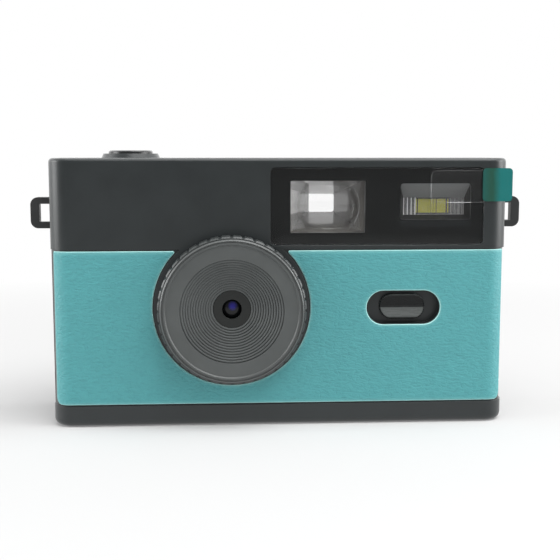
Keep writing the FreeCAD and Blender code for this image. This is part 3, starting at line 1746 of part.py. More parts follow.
def make_card_socket():
    owner = body("card_socket")
    wall, gap = d.card_socket_wall, d.card_gap
    half = d.card_width / 2 + gap
    right = half_width - d.wall - gap
    case = sketch(owner, "side", right - d.card_socket_length)
    box_outline(
        case, behind(board_back), behind(board_back + card_socket_thickness),
        d.card_z - half - wall, d.card_z + half + wall,
    )
    pad(owner, case, d.card_socket_length)
    room = sketch(owner, "side", right)
    box_outline(
        room, behind(board_back + wall), behind(board_back + card_socket_thickness - wall),
        d.card_z - half, d.card_z + half,
    )
    pocket(owner, room, d.card_socket_length - wall)
    return owner


def make_memory_card():
    """A card with its slanted corner step and the raised grip lip at its outer end."""
    owner = body("memory_card")
    left, right = card_right - d.card_length, card_right
    low, high = d.card_z - d.card_width / 2, d.card_z + d.card_width / 2
    plate = sketch(owner, "front", behind(card_front))
    step = d.card_grip_width
    polygon(plate, [
        (left, low),
        (right, low),
        (right, high),
        (right - d.card_length / 2, high),
        (right - d.card_length / 2 - step, high - step),
        (left, high - step),
    ])
    pad(owner, plate, d.card_thickness - d.card_grip_lip / 2, against=True)
    lip = sketch(owner, "front", behind(card_front))
    box_outline(lip, right - step, right, low, high)
    pad(owner, lip, d.card_thickness, against=True)
    return owner


# Screen


def make_lcd_module():
    return named("lcd_module", block(
        "screen_case", span(d.screen_x, d.screen_width), depths(screen_back, rear_wall),
        span(screen_z, d.screen_height),
    ))


def make_lcd_window():
    owner = body("lcd_window")
    plate = sketch(owner, "front", behind(d.body_depth))
    centred_box(
        plate, d.screen_x, screen_z, d.screen_cover_width, d.screen_cover_height,
        d.screen_cover_corner,
    )
    pad(owner, plate, d.screen_cover_thickness)
    return owner


# Rear keys

KEY_NAMES = ("menu_key", "down_key", "up_key", "playback_key", "power_key")


def make_key(label, z):
    """A round key with a dished face, kept in by a flange behind the wall."""
    owner = body(label)
    profile = sketch(owner, "top", z, right=d.key_x, up=behind(d.body_depth))
    top = d.key_proud
    flange_back = key_flange_back - d.body_depth
    flange_front = key_flange_front - d.body_depth
    polygon(profile, [
        (0, flange_front),
        (d.key_flange_radius, flange_front),
        (d.key_flange_radius, flange_back),
        (d.key_radius, flange_back),
        (d.key_radius, top - d.key_dish),
        (d.key_radius - d.key_dish, top),
        (d.key_radius / 2, top - d.key_dish / 2),
        (0, top - d.key_dish),
    ])
    turned(owner, profile)
    return owner


def make_key_board():
    owner = body("key_board")
    plate = sketch(owner, "front", behind(key_board_front))
    half = d.key_board_width / 2
    box_outline(plate, d.key_x - half, d.key_x + half, key_board_low, key_board_high)
    pad(owner, plate, d.key_board_thickness, against=True)
    for x, z in KEY_SCREW_PLACES:
        hole(owner, x, z, d.screw_radius + d.screw_gap, key_board_front, key_board_back)
    return owner


def make_key_switches():
    switches = []
    for index in range(int(d.key_count.value)):
        z = d.key_low + d.key_pitch * index
        case = block(
            f"key_switch_case_{index}", span(d.key_x, d.key_switch_size),
            depths(key_board_back, key_switch_top), span(z, d.key_switch_size),
        )
        plunger = rod(
            f"key_plunger_{index}", d.key_plunger_radius, d.key_plunger,
            d.key_x, behind(key_switch_top), z, upright=False,
        )
        switches.append(fused(f"key_switch_{index}", case, plunger))
    return group("key_switches", switches)


def make_status_light():
    owner = body("status_light")
    profile = sketch(owner, "top", light_z, right=d.light_x, up=behind(d.body_depth))
    inside = -d.wall
    polygon(profile, [
        (0, -d.light_length),
        (d.light_flange_radius, -d.light_length),
        (d.light_flange_radius, inside),
        (d.light_radius, inside),
        (d.light_radius, 0),
        (0, 0),
    ])
    turned(owner, profile)
    return owner


# Strap lugs and tripod socket


def make_strap_lug(label, side):
    """A flat D-shaped eye whose foot is held between the two halves of the case."""
    owner = body(label)
    front = behind(d.lug_depth - d.lug_thickness / 2)
    reach = (half_width + d.lug_reach) * side
    inner = (half_width - d.wall) * side
    foot = (half_width - d.wall - d.lug_foot_depth) * side
    lip = d.lug_foot_lip
    profile = sketch(owner, "front", front)
    outline(profile, [
        (foot, lug_bottom - lip),
        (inner, lug_bottom - lip),
        (inner, lug_bottom),
        (reach, lug_bottom, d.lug_corner),
        (reach, lug_top, d.lug_corner),
        (inner, lug_top),
        (inner, lug_top + lip),
        (foot, lug_top + lip),
    ])
    eye_low, eye_high = lug_bottom + d.lug_ring, lug_top - d.lug_ring
    near, far = half_width * side, (half_width + d.lug_slot) * side
    outline(profile, [(near, eye_low), (far, eye_low), (far, eye_high), (near, eye_high)])
    pad(owner, profile, d.lug_thickness, against=True)
    return owner


def make_tripod_socket():
    owner = body("tripod_socket")
    profile = sketch(owner, "front", behind(d.tripod_depth), right=d.tripod_x)
    bore, outer, flange = d.tripod_bore_radius, d.tripod_radius, d.tripod_flange_radius
    sunk = d.screw_gap * 2
    polygon(profile, [
        (bore, sunk),
        (outer, sunk),
        (outer, d.wall),
        (flange, d.wall),
        (flange, d.wall + d.tripod_flange),
        (outer, d.wall + d.tripod_flange),
        (outer, sunk + d.tripod_length),
        (bore, sunk + d.tripod_length),
    ])
    turned(owner, profile)
    return owner


# Screws


def screw(name, x, z, seat, length, towards_back):
    """A cross-headed screw with its head's underside at a depth."""
    way = 1 if towards_back else -1
    head_top = seat - d.screw_head * way
    tip = seat + length * way
    first, last = (seat, tip) if towards_back else (tip, seat)
    shank = rod(f"{name}_shank", d.screw_radius, length, x, behind(first), z, upright=False)
    low = head_top if towards_back else seat
    head = rod(f"{name}_head", d.screw_head_radius, d.screw_head, x, behind(low), z, upright=False)
    whole = fused(f"{name}_blank", head, shank)
    floor = head_top + d.cross_depth * way
    cross_depths = depths(head_top, floor) if towards_back else depths(floor, head_top)
    level = block(
        f"{name}_level", span(x, d.cross_length), cross_depths, span(z, d.cross_width)
    )
    upright = block(
        f"{name}_upright", span(x, d.cross_width), cross_depths, span(z, d.cross_length)
    )
    return cut(name, whole, fused(f"{name}_cross", level, upright))


def screws(label, places, seat, length, towards_back=False):
    return group(label, [
        screw(f"{label}_{index}", x, z, seat, length, towards_back)
        for index, (x, z) in enumerate(places)
    ])


# The whole camera

PARTS = [
    make_front_cover(),
    make_rear_cover(),
    make_leather_skin(),
    make_window_panel(),
    make_panel_mask(),
    make_protective_film(),
    make_film_pull_tab(),
    make_viewfinder_front_lens(),
    make_viewfinder_tube(),
    make_viewfinder_rear_lens(),
    make_eyepiece_frame(),
    make_flash_reflector(),
    make_flash_lens(),
    make_flash_leds(),
    make_flash_board(),
    make_focus_ring(),
    make_lens_cone(),
    make_lens_mount(),
    make_lens_barrel(),
    make_lens_front_element(),
    make_lens_spacer(),
    make_lens_rear_element(),
    make_lens_holder(),
    make_ir_filter(),
    make_image_sensor(),
    make_flash_switch_knob(),
    make_switch_lever(),
    make_slide_switch(),
    make_shutter_bezel(),
    make_shutter_button(),
    make_shutter_clip(),
    make_shutter_spring(),
    make_shutter_switch(),
    make_shutter_board(),
    make_main_board(),
    make_battery(),
    make_battery_connector(),
    make_chip(
        "processor_chip", d.processor_x, d.processor_z,
        d.processor_size, d.processor_size, d.processor_thickness,
    ),
    make_chip(
        "memory_chip", d.memory_x, d.memory_z, d.memory_width, d.memory_height, d.memory_thickness
    ),
    make_usb_port(),
    make_card_socket(),
    make_memory_card(),
    make_lcd_module(),
    make_lcd_window(),
    make_key_board(),
    make_key_switches(),
    make_status_light(),
    make_strap_lug("strap_lug_left", -1),
    make_strap_lug("strap_lug_right", 1),
    make_tripod_socket(),
    screws("case_screws", CASE_SCREW_PLACES, head_seat, d.case_screw_length),
    screws("board_screws", BOARD_SCREW_PLACES, board_back, d.board_screw_length),
    screws("key_board_screws", KEY_SCREW_PLACES, key_board_front, d.board_screw_length, True),
]
for index, name in enumerate(KEY_NAMES):
    PARTS.append(make_key(name, d.key_low + d.key_pitch * index))

doc.recompute()

for item in doc.Objects:
    if "Invalid" in item.State or "Error" in item.State:
        raise RuntimeError(f"{item.Label} is not made: {item.State}")
    if item.TypeId == "Sketcher::SketchObject" and not item.FullyConstrained:
        raise RuntimeError(f"{item.Label} is not fully constrained")
    if item.TypeId in ("PartDesign::Pocket", "PartDesign::Groove", "PartDesign::SubtractiveLoft"):
        if item.BaseFeature.Shape.Volume - item.Shape.Volume < 1e-6:
            raise RuntimeError(f"{item.Label} cuts nothing")

os.makedirs("parts", exist_ok=True)
for part in PARTS:
    if part.Shape.isNull() or not part.Shape.isValid():
        raise RuntimeError(f"{part.Label} has no valid shape")
    part.Shape.exportStep(f"parts/{part.Label}.step")
    print(f"{part.Label}: {len(part.Shape.Solids)} solids, {part.Shape.Volume:.1f} mm3")
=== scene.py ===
import json
import math

import bmesh
import bpy
import numpy as np
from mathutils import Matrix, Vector, geometry, noise


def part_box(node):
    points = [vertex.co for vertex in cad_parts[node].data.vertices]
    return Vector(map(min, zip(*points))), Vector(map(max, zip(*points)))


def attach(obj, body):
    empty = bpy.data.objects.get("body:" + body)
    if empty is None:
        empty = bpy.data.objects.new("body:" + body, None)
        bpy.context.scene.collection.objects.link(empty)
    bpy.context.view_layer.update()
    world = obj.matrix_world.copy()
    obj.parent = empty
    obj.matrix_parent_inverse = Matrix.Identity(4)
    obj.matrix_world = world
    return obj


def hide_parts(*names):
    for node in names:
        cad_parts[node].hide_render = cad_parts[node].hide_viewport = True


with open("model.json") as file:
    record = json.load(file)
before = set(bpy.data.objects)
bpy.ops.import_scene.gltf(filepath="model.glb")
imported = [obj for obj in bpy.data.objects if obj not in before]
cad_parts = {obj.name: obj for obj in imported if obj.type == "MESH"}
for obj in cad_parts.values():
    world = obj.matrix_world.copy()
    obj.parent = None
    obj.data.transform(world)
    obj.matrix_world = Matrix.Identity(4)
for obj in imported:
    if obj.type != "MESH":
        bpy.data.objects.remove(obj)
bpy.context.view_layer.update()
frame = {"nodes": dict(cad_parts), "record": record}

# Blender works in metres, in the frame of the CAD model.
MM = 0.001
NODES = frame["nodes"]
SLOT_OF = {row["node"]: row["material_slot"] for row in frame["record"]["subparts"]}

# Places on the object, in millimetres: X to the right seen from the front, Y to the back and Z up
CASE_FRONT, COVERS_JOINT = -10.85, 3.15
LENS_X, LENS_Z = -12.65, 31.0
CONE_RADIUS = 13.1
SWITCH_X, SWITCH_Z = 31.8, 30.7
PANEL_LEFT, PANEL_RIGHT, PANEL_BOTTOM, PANEL_TOP = -2.6, 52.3, 47.0, 66.75
FLASH_LEFT, FLASH_RIGHT, FLASH_BOTTOM, FLASH_TOP = 30.7, 49.2, 53.4, 62.7
FLASH_LENS_LEFT, FLASH_LENS_BOTTOM, RIB_PITCH = 32.05, 54.45, 1.00625
CHIPS_LEFT, CHIPS_RIGHT = 36.25, 44.5
FILM_LEFT, FILM_RIGHT, FILM_BOTTOM, FILM_TOP = 38.5, 52.3, 57.8, 66.0
# The middle of the stretch where the film's lower edge stands off the panel
FILM_LIFTED_X = 45.9
# The stretches along X in which the pull tab comes to lie on the case, and in which it leaves it
TAB_SETTLES, TAB_LEAVES = (52.5, 54.6), (55.2, 57.2)
# How much of the screen's cover lies round the display
DISPLAY_BORDER_X, DISPLAY_BORDER_Z = 2.2, 2.0

WHITE, BLACK = (1.0, 1.0, 1.0, 1.0), (0.0, 0.0, 0.0, 1.0)
# What the place is multiplied by along X, Y and Z, so that a pattern becomes hairline scuffs
HAIRLINES = (0.15, 1.0, 1.6)
GRAIN_SIZE, GRAIN_DEPTH = 0.14 * MM, 0.006 * MM


class Nodes:
    """Short ways to add nodes to one tree. A value is a number, a colour or a socket of another node."""

    def __init__(self, tree):
        self.tree = tree

    def node(self, kind, inputs=None, **settings):
        made = self.tree.nodes.new(kind)
        for name, value in settings.items():
            setattr(made, name, value)
        for name, value in (inputs or {}).items():
            self.feed(made.inputs[name], value)
        return made

    def feed(self, socket, value):
        if isinstance(value, bpy.types.NodeSocket):
            self.tree.links.new(value, socket)
        else:
            socket.default_value = value

    def maths(self, operation, first, second=0.0):
        return self.node("ShaderNodeMath", {0: first, 1: second}, operation=operation).outputs[0]

    def fit(self, value, low, high, first, last):
        """`value` from low to high becomes first to last, and stays within them."""
        return self.node(
            "ShaderNodeMapRange",
            {"Value": value, "From Min": low, "From Max": high, "To Min": first, "To Max": last},
        ).outputs["Result"]

    def mix_surface(self, share, first, second):
        """The surface shows the second shader by the share, and the first by the rest."""
        mix = self.node("ShaderNodeMixShader", {0: share, 1: first.outputs[0], 2: second.outputs[0]})
        self.feed(self.tree.nodes["Material Output"].inputs["Surface"], mix.outputs[0])


class Paint(Nodes):
    """One material: the nodes that feed its Principled shader. Patterns lie on the object itself."""

    def __init__(self, name):
        self.material = bpy.data.materials.new(name)
        self.material.use_nodes = True
        super().__init__(self.material.node_tree)
        self.shader = self.tree.nodes["Principled BSDF"]
        self.place = self.node("ShaderNodeTexCoord").outputs["Object"]

    def set(self, **values):
        """Sets sockets of the shader: a word's underscores stand for the spaces in the socket's name."""
        for name, value in values.items():
            self.feed(self.shader.inputs[name.replace("_", " ")], value)

    def vectors(self, operation, first, second):
        return self.node("ShaderNodeVectorMath", {0: first, 1: second}, operation=operation)

    def stretched(self, x, y, z):
        return self.vectors("MULTIPLY", self.place, (x, y, z)).outputs[0]

    def warped(self, size, amount, place):
        """The place, pushed about by up to `amount` in waves of `size`."""
        push = self.node("ShaderNodeTexNoise", {"Vector": place, "Scale": 1 / size, "Detail": 2.0})
        centred = self.vectors("SUBTRACT", push.outputs["Color"], (0.5, 0.5, 0.5)).outputs[0]
        scaled = self.node("ShaderNodeVectorMath", {0: centred, "Scale": 2 * amount}, operation="SCALE")
        return self.vectors("ADD", place, scaled.outputs[0]).outputs[0]

    def clouds(self, size, detail=3.0, place=None):
        return self.node(
            "ShaderNodeTexNoise",
            {"Vector": place or self.place, "Scale": 1 / size, "Detail": detail, "Roughness": 0.6},
        ).outputs["Fac"]

    def cells(self, size, place, feature):
        inputs = {"Vector": place, "Scale": 1 / size}
        return self.node("ShaderNodeTexVoronoi", inputs, feature=feature).outputs["Distance"]

    def blend(self, share, first, second):
        return self.node("ShaderNodeMix", {0: share, 6: first, 7: second}, data_type="RGBA").outputs[2]

    def tones(self, pattern, low, high, first, second):
        """One colour where the pattern is low, the other where it is high."""
        return self.blend(self.fit(pattern, low, high, 0.0, 1.0), first, second)

    def relief(self, height, depth, normal=None):
        inputs = {"Height": height, "Distance": depth, "Strength": 1.0}
        if normal:
            inputs["Normal"] = normal
        return self.node("ShaderNodeBump", inputs).outputs["Normal"]

    def soft_edges(self, radius):
        return self.node("ShaderNodeBevel", {"Radius": radius}, samples=4).outputs["Normal"]

    def along(self, axis):
        return self.node("ShaderNodeSeparateXYZ", {0: self.place}).outputs[axis]

    def facing(self, axis):
        """How far the surface faces along an axis of the object, from -1 to 1."""
        normal = self.node("ShaderNodeTexCoord").outputs["Normal"]
        return self.node("ShaderNodeSeparateXYZ", {0: normal}).outputs[axis]

    def near(self, value, middle, full, none):
        """1 within `full` of the middle, falling to 0 at `none`."""
        away = self.maths("ABSOLUTE", self.maths("SUBTRACT", value, middle))
        return self.fit(away, full, none, 1.0, 0.0)

    def away_from(self, x, z):
        """The distance from a line along Y, given in millimetres."""
        flat = self.stretched(1.0, 0.0, 1.0)
        return self.vectors("DISTANCE", flat, (x * MM, 0.0, z * MM)).outputs["Value"]

    def edge_mask(self, rounded):
        """1 on worn edges, 0 on flat faces: where the rounded normal leaves the face's own."""
        flat = self.node("ShaderNodeNewGeometry").outputs["Normal"]
        same = self.vectors("DOT_PRODUCT", rounded, flat).outputs["Value"]
        return self.fit(same, 0.98, 0.8, 0.0, 1.0)

    def lamp_through(self):
        """Lets the lamps' light through glass, which would otherwise shade all that lies behind it."""
        path = self.node("ShaderNodeLightPath")
        self.mix_surface(path.outputs["Is Shadow Ray"], self.shader, self.node("ShaderNodeBsdfTransparent"))

    def see_through(self, share):
        """Shows the finish by the share, and what lies behind it by the rest."""
        self.mix_surface(share, self.node("ShaderNodeBsdfTransparent"), self.shader)


def rgb(red, green, blue):
    """A colour given as 0 to 255 on screen, for a shader."""
    def linear(value):
        value /= 255
        return value / 12.92 if value <= 0.04045 else ((value + 0.055) / 1.055) ** 2.4
    return (linear(red), linear(green), linear(blue), 1.0)


def shade(colour, share):
    """The colour made darker, or lighter where the share is over 1."""
    return tuple(part * share for part in colour[:3]) + (1.0,)


def moulded(name, colour, rough, edge=0.15 * MM, wear=0.35, joint_and_painted_shade=None):
    """Moulded plastic: a fine spark-eroded grain, faint flow marks and edges that handling has polished."""
    paint = Paint(name)
    rounded = paint.soft_edges(edge)
    flow = paint.clouds(9 * MM)
    worn = paint.maths("MULTIPLY", paint.edge_mask(rounded), wear)
    tone = paint.tones(flow, 0.35, 0.65, shade(colour, 0.92), shade(colour, 1.08))
    # The case's dark joint line, and painted shade on the cone's step walls and flat ring, darken the tone
    if joint_and_painted_shade:
        tone = paint.blend(joint_and_painted_shade(paint), tone, shade(colour, 0.2))
    grit = paint.clouds(GRAIN_SIZE, detail=2.0)
    flow_gloss = paint.fit(flow, 0.3, 0.7, rough - 0.03, rough + 0.03)
    paint.set(
        Base_Color=paint.blend(worn, tone, shade(colour, 2.2)),
        Roughness=paint.maths("ADD", flow_gloss, paint.fit(grit, 0.35, 0.65, -0.03, 0.03)),
        IOR=1.5,
        Normal=paint.relief(grit, GRAIN_DEPTH, rounded),
    )
    return paint.material


def polished(name, colour, rough, ior=1.5):
    """Glossy plastic: nearly smooth, with a slight waviness and hairline scuffs."""
    paint = Paint(name)
    rounded = paint.soft_edges(0.12 * MM)
    waves = paint.clouds(3 * MM)
    hairs = paint.clouds(0.5 * MM, place=paint.stretched(*HAIRLINES))
    paint.set(
        Base_Color=paint.tones(waves, 0.35, 0.65, shade(colour, 0.93), shade(colour, 1.07)),
        Roughness=paint.fit(hairs, 0.45, 0.75, rough, rough + 0.1),
        IOR=ior,
        Normal=paint.relief(waves, 0.02 * MM, rounded),
    )
    return paint.material


def metal(name, colour, rough, brush=(1.0, 1.0, 0.05)):
    """Plated or turned metal: fine brush marks along one way, tarnish in clouds and rounded edges."""
    paint = Paint(name)
    rounded = paint.soft_edges(0.08 * MM)
    marks = paint.clouds(0.12 * MM, place=paint.stretched(*brush))
    tarnish = paint.clouds(2.5 * MM)
    tarnish_gloss = paint.fit(tarnish, 0.3, 0.7, rough - 0.04, rough + 0.08)
    paint.set(
        Base_Color=paint.tones(tarnish, 0.35, 0.7, colour, shade(colour, 0.72)),
        Metallic=1.0,
        Roughness=paint.maths("ADD", tarnish_gloss, paint.fit(marks, 0.3, 0.7, -0.04, 0.04)),
        Normal=paint.relief(marks, 0.004 * MM, rounded),
    )
    return paint.material


def clear_optic():
    """Clear optical glass, with faint dust that only its roughness shows."""
    paint = Paint("optic_clear")
    dust = paint.clouds(0.35 * MM, detail=4.0)
    paint.set(
        Base_Color=WHITE,
        Roughness=paint.fit(dust, 0.62, 0.8, 0.02, 0.05),
        IOR=1.49,
        Transmission_Weight=1.0,
        Normal=paint.relief(paint.clouds(4 * MM), 0.004 * MM),
    )
    paint.lamp_through()
    return paint.material


def covers_joint(paint):
    """The fine dark line where the two halves of the case meet."""
    return paint.near(paint.along("Y"), COVERS_JOINT * MM, 0.04 * MM, 0.09 * MM)


def cone_painted_shade(paint):
    """Painted shade: the walls between the cone's steps, which see little light, painted darker, and the flat
    ring round the cone painted a tone darker than the steps.
    """
    walls = paint.fit(paint.maths("ABSOLUTE", paint.facing("Y")), 0.5, 0.7, 1.0, 0.0)
    away = paint.away_from(LENS_X, LENS_Z)
    ring = paint.fit(away, (CONE_RADIUS - 0.1) * MM, (CONE_RADIUS + 0.1) * MM, 0.0, 0.38)
    return paint.maths("MAXIMUM", walls, ring)


def panel_acrylic():
    """The window plate: polished smooth, with a few faint scuffs that take a little of the light."""
    paint = Paint("clear_panel")
    scuffs = paint.clouds(2.5 * MM, place=paint.stretched(0.4, 1.0, 1.0))
    paint.set(
        Base_Color=paint.tones(scuffs, 0.6, 0.75, WHITE, (0.93, 0.94, 0.94, 1)),
        Roughness=0.0,
        IOR=1.32,
        Transmission_Weight=1.0,
    )
    paint.lamp_through()
    return paint.material


def printed_mask():
    """Black print on the panel's back, thinner under the flash; the acrylic over it gives it its gloss."""
    paint = Paint("mask_black")
    coats = paint.clouds(6 * MM, detail=1.0)
    black = paint.tones(coats, 0.3, 0.7, (0.0055, 0.0062, 0.0062, 1), (0.0068, 0.0076, 0.0076, 1))
    across = paint.near(paint.along("X"), (FLASH_LEFT + FLASH_RIGHT) / 2 * MM, 9.0 * MM, 9.4 * MM)
    below = paint.near(paint.along("Z"), (FLASH_BOTTOM - 1.05) * MM, 0.75 * MM, 1.1 * MM)
    paint.set(
        Base_Color=paint.blend(paint.maths("MULTIPLY", across, below), black, rgb(27, 29, 30)),
        Roughness=paint.fit(coats, 0.3, 0.7, 0.82, 0.88),
        Specular_IOR_Level=0.0,
    )
    return paint.material


def ribbed_window():
    """The flash's clear window, with painted highlights: the crest of each rib is painted opaque white, most
    where light gets in past the chips, fainter lines right of them, and a faint line along the lower lip.
    """
    paint = Paint("flash_window")
    across = paint.along("X")
    ribs = paint.maths("DIVIDE", paint.maths("SUBTRACT", across, FLASH_LENS_LEFT * MM), RIB_PITCH * MM)
    crest = paint.near(paint.maths("FRACT", ribs), 0.5, 0.02, 0.13)
    left_of_chips = paint.fit(across, (CHIPS_LEFT - 0.15) * MM, (CHIPS_LEFT + 0.15) * MM, 0.95, 0.1)
    half_ribs = paint.near(paint.maths("FRACT", paint.maths("MULTIPLY", ribs, 2.0)), 0.5, 0.1, 0.22)
    right_of_chips = paint.fit(across, (CHIPS_RIGHT - 0.2) * MM, (CHIPS_RIGHT + 0.2) * MM, 0.1, 0.3)
    # Painted highlights: where they are strong, the window turns opaque white
    bright = paint.maths("MULTIPLY", crest, left_of_chips)
    dim = paint.maths("MULTIPLY", half_ribs, right_of_chips)
    lip_highlight = paint.near(paint.along("Z"), FLASH_LENS_BOTTOM * MM, 0.08 * MM, 0.2 * MM)
    share = paint.maths("MAXIMUM", paint.maths("MAXIMUM", dim, bright), paint.maths("MULTIPLY", lip_highlight, 0.2))
    paint.set(
        Base_Color=WHITE,
        Roughness=paint.fit(paint.clouds(0.5 * MM), 0.3, 0.7, 0.02, 0.08),
        IOR=1.45,
        Transmission_Weight=paint.maths("SUBTRACT", 1.0, share),
    )
    paint.lamp_through()
    return paint.material


def circuit_board(name, colour):
    """Solder mask over copper tracks, with a weave of glass fibre under it."""
    paint = Paint(name)
    bricks = {"Scale": 1 / (6 * MM), "Mortar Size": 0.035, "Color1": BLACK, "Color2": BLACK, "Mortar": WHITE}
    tracks = paint.node("ShaderNodeTexBrick", {"Vector": paint.place, **bricks}).outputs["Fac"]
    weave = paint.clouds(0.3 * MM)
    tone = paint.tones(weave, 0.3, 0.7, shade(colour, 0.85), shade(colour, 1.15))
    paint.set(
        Base_Color=paint.blend(paint.maths("MULTIPLY", tracks, 0.6), tone, shade(colour, 2.4)),
        Roughness=paint.fit(weave, 0.3, 0.7, 0.28, 0.36),
        Normal=paint.relief(tracks, 0.03 * MM, paint.relief(weave, 0.01 * MM)),
    )
    return paint.material


LEATHER_TEAL = rgb(80, 157, 161)


def leatherette():
    """Embossed leatherette: low pebbles about a millimetre across, with fine creases mostly level; painted
    shade darkens the creases and low streaks, and a painted highlight makes its cut edge paler.
    """
    paint = Paint("leatherette_teal")
    level = paint.stretched(0.62, 1.0, 1.0)
    bent = paint.warped(2.6 * MM, 0.9 * MM, level)
    pebbles = paint.cells(0.95 * MM, paint.warped(0.9 * MM, 0.3 * MM, bent), "SMOOTH_F1")
    patches = paint.clouds(5.5 * MM)
    pores = paint.clouds(0.17 * MM, detail=2.0)
    streaks = paint.clouds(0.6 * MM, place=paint.stretched(0.36, 1.0, 1.0))
    crease = paint.fit(paint.cells(1.2 * MM, bent, "DISTANCE_TO_EDGE"), 0.0, 0.11, 1.0, 0.0)
    faded = paint.fit(paint.clouds(1.9 * MM, place=level), 0.36, 0.62, 0.15, 1.0)
    crease = paint.maths("MULTIPLY", crease, faded)
    bumps = paint.fit(pebbles, 0.0, 0.9, 0.5, 0.0)
    height = paint.maths("SUBTRACT", bumps, paint.maths("MULTIPLY", crease, 0.5))
    height = paint.maths("ADD", height, paint.fit(streaks, 0.3, 0.7, 0.0, 1.1))
    height = paint.maths("ADD", height, paint.maths("MULTIPLY", pores, 0.22))
    tone = paint.tones(patches, 0.32, 0.68, shade(LEATHER_TEAL, 0.96), shade(LEATHER_TEAL, 1.04))
    tone = paint.tones(pores, 0.35, 0.65, shade(LEATHER_TEAL, 0.9), tone)
    # Painted shade: the low streaks and the creases, where the relief lies lowest, darken the tone
    tone = paint.blend(paint.fit(streaks, 0.32, 0.5, 0.16, 0.0), tone, shade(LEATHER_TEAL, 0.5))
    tone = paint.blend(paint.maths("MULTIPLY", crease, 0.08), tone, shade(LEATHER_TEAL, 0.5))
    # Painted highlight: the band turns paler along its cut edge
    edge_highlight = paint.node("ShaderNodeAttribute", attribute_name="edge_highlight").outputs["Fac"]
    paint.set(
        Base_Color=paint.blend(paint.maths("MULTIPLY", edge_highlight, 0.85), tone, rgb(186, 238, 234)),
        Roughness=paint.fit(crease, 0.0, 1.0, 0.44, 0.66),
        IOR=1.46,
        Normal=paint.relief(height, 0.09 * MM),
    )
    return paint.material


def lens_glass():
    """The small lens: dark glass with a painted reflection of its coating, violet-blue in a soft spot a
    little above the middle.
    """
    paint = Paint("lens_glass")
    ripple = paint.clouds(0.5 * MM)
    away = paint.away_from(LENS_X + 0.2, LENS_Z + 0.7)
    away = paint.maths("ADD", away, paint.maths("MULTIPLY", ripple, 0.3 * MM))
    # Painted reflection: a soft violet-blue spot on the dark glass
    glow = paint.fit(away, 0.6 * MM, 1.5 * MM, 1.0, 0.0)
    paint.set(
        Base_Color=paint.blend(glow, rgb(9, 11, 13), rgb(36, 33, 118)),
        Roughness=paint.fit(ripple, 0.3, 0.7, 0.16, 0.24),
        IOR=1.38,
    )
    return paint.material


def led_phosphor():
    """Silicone full of yellow phosphor, with a grain of particles."""
    paint = Paint("led_phosphor")
    grains = paint.clouds(0.12 * MM)
    paint.set(
        Base_Color=paint.tones(grains, 0.35, 0.65, rgb(204, 200, 36), rgb(232, 228, 70)),
        Roughness=0.45,
        Subsurface_Weight=0.2,
        Subsurface_Radius=(1.0 * MM, 1.0 * MM, 0.3 * MM),
        Normal=paint.relief(grains, 0.02 * MM),
    )
    return paint.material


def tab_film():
    """The green pull tab: tinted film, darker where it lies on the black case than where it stands off."""
    paint = Paint("tab_film_green")
    waves = paint.clouds(3.5 * MM)
    streaks = paint.clouds(0.6 * MM, place=paint.stretched(1.0, 1.0, 0.25))
    across = paint.maths("ADD", paint.along("X"), paint.maths("MULTIPLY", waves, 1.2 * MM))
    lying = paint.tones(across, *(x * MM for x in TAB_SETTLES), rgb(12, 78, 72), rgb(20, 72, 58))
    paint.set(
        Base_Color=paint.tones(across, *(x * MM for x in TAB_LEAVES), lying, rgb(6, 104, 102)),
        Roughness=paint.fit(streaks, 0.3, 0.7, 0.32, 0.42),
        IOR=1.45,
        Normal=paint.relief(waves, 0.1 * MM),
    )
    return paint.material


def clear_film():
    """Very thin clear film, which lets nearly all through."""
    paint = Paint("film_clear")
    wrinkles = paint.clouds(6 * MM)
    paint.set(Base_Color=WHITE, Roughness=paint.fit(wrinkles, 0.3, 0.7, 0.1, 0.2), IOR=1.4)
    paint.see_through(paint.fit(paint.clouds(1.5 * MM), 0.35, 0.65, 0.0032, 0.0048))
    return paint.material


def film_edge():
    """The film's cut edge: a thin pale line, with a painted highlight that makes it brightest where it stands
    off the panel at its lower right.
    """
    paint = Paint("film_edge")
    broken = paint.clouds(2.2 * MM)
    across, up = paint.along("X"), paint.along("Z")
    low = paint.fit(up, (FILM_BOTTOM + 0.2) * MM, (FILM_BOTTOM + 0.5) * MM, 1.0, 0.0)
    lifted = paint.maths("MULTIPLY", low, paint.near(across, FILM_LIFTED_X * MM, 2.5 * MM, 3.4 * MM))
    left = paint.near(across, FILM_LEFT * MM, 0.3 * MM, 0.4 * MM)
    over_window = paint.fit(up, (FLASH_TOP - 0.2) * MM, (FLASH_TOP + 0.2) * MM, 1.0, 0.0)
    upright = paint.maths("MULTIPLY", paint.maths("MULTIPLY", left, over_window), 0.3)
    # Painted highlight: paler where the edge stands off the panel, and along its left side over the flash
    # window
    bright = paint.maths("MULTIPLY", paint.maths("MAXIMUM", lifted, upright), 0.5)
    paint.set(Base_Color=(0.9, 0.9, 0.9, 1), Roughness=paint.fit(broken, 0.3, 0.7, 0.25, 0.4), IOR=1.45)
    paint.see_through(paint.maths("ADD", paint.fit(broken, 0.3, 0.7, 0.04, 0.12), bright))
    return paint.material


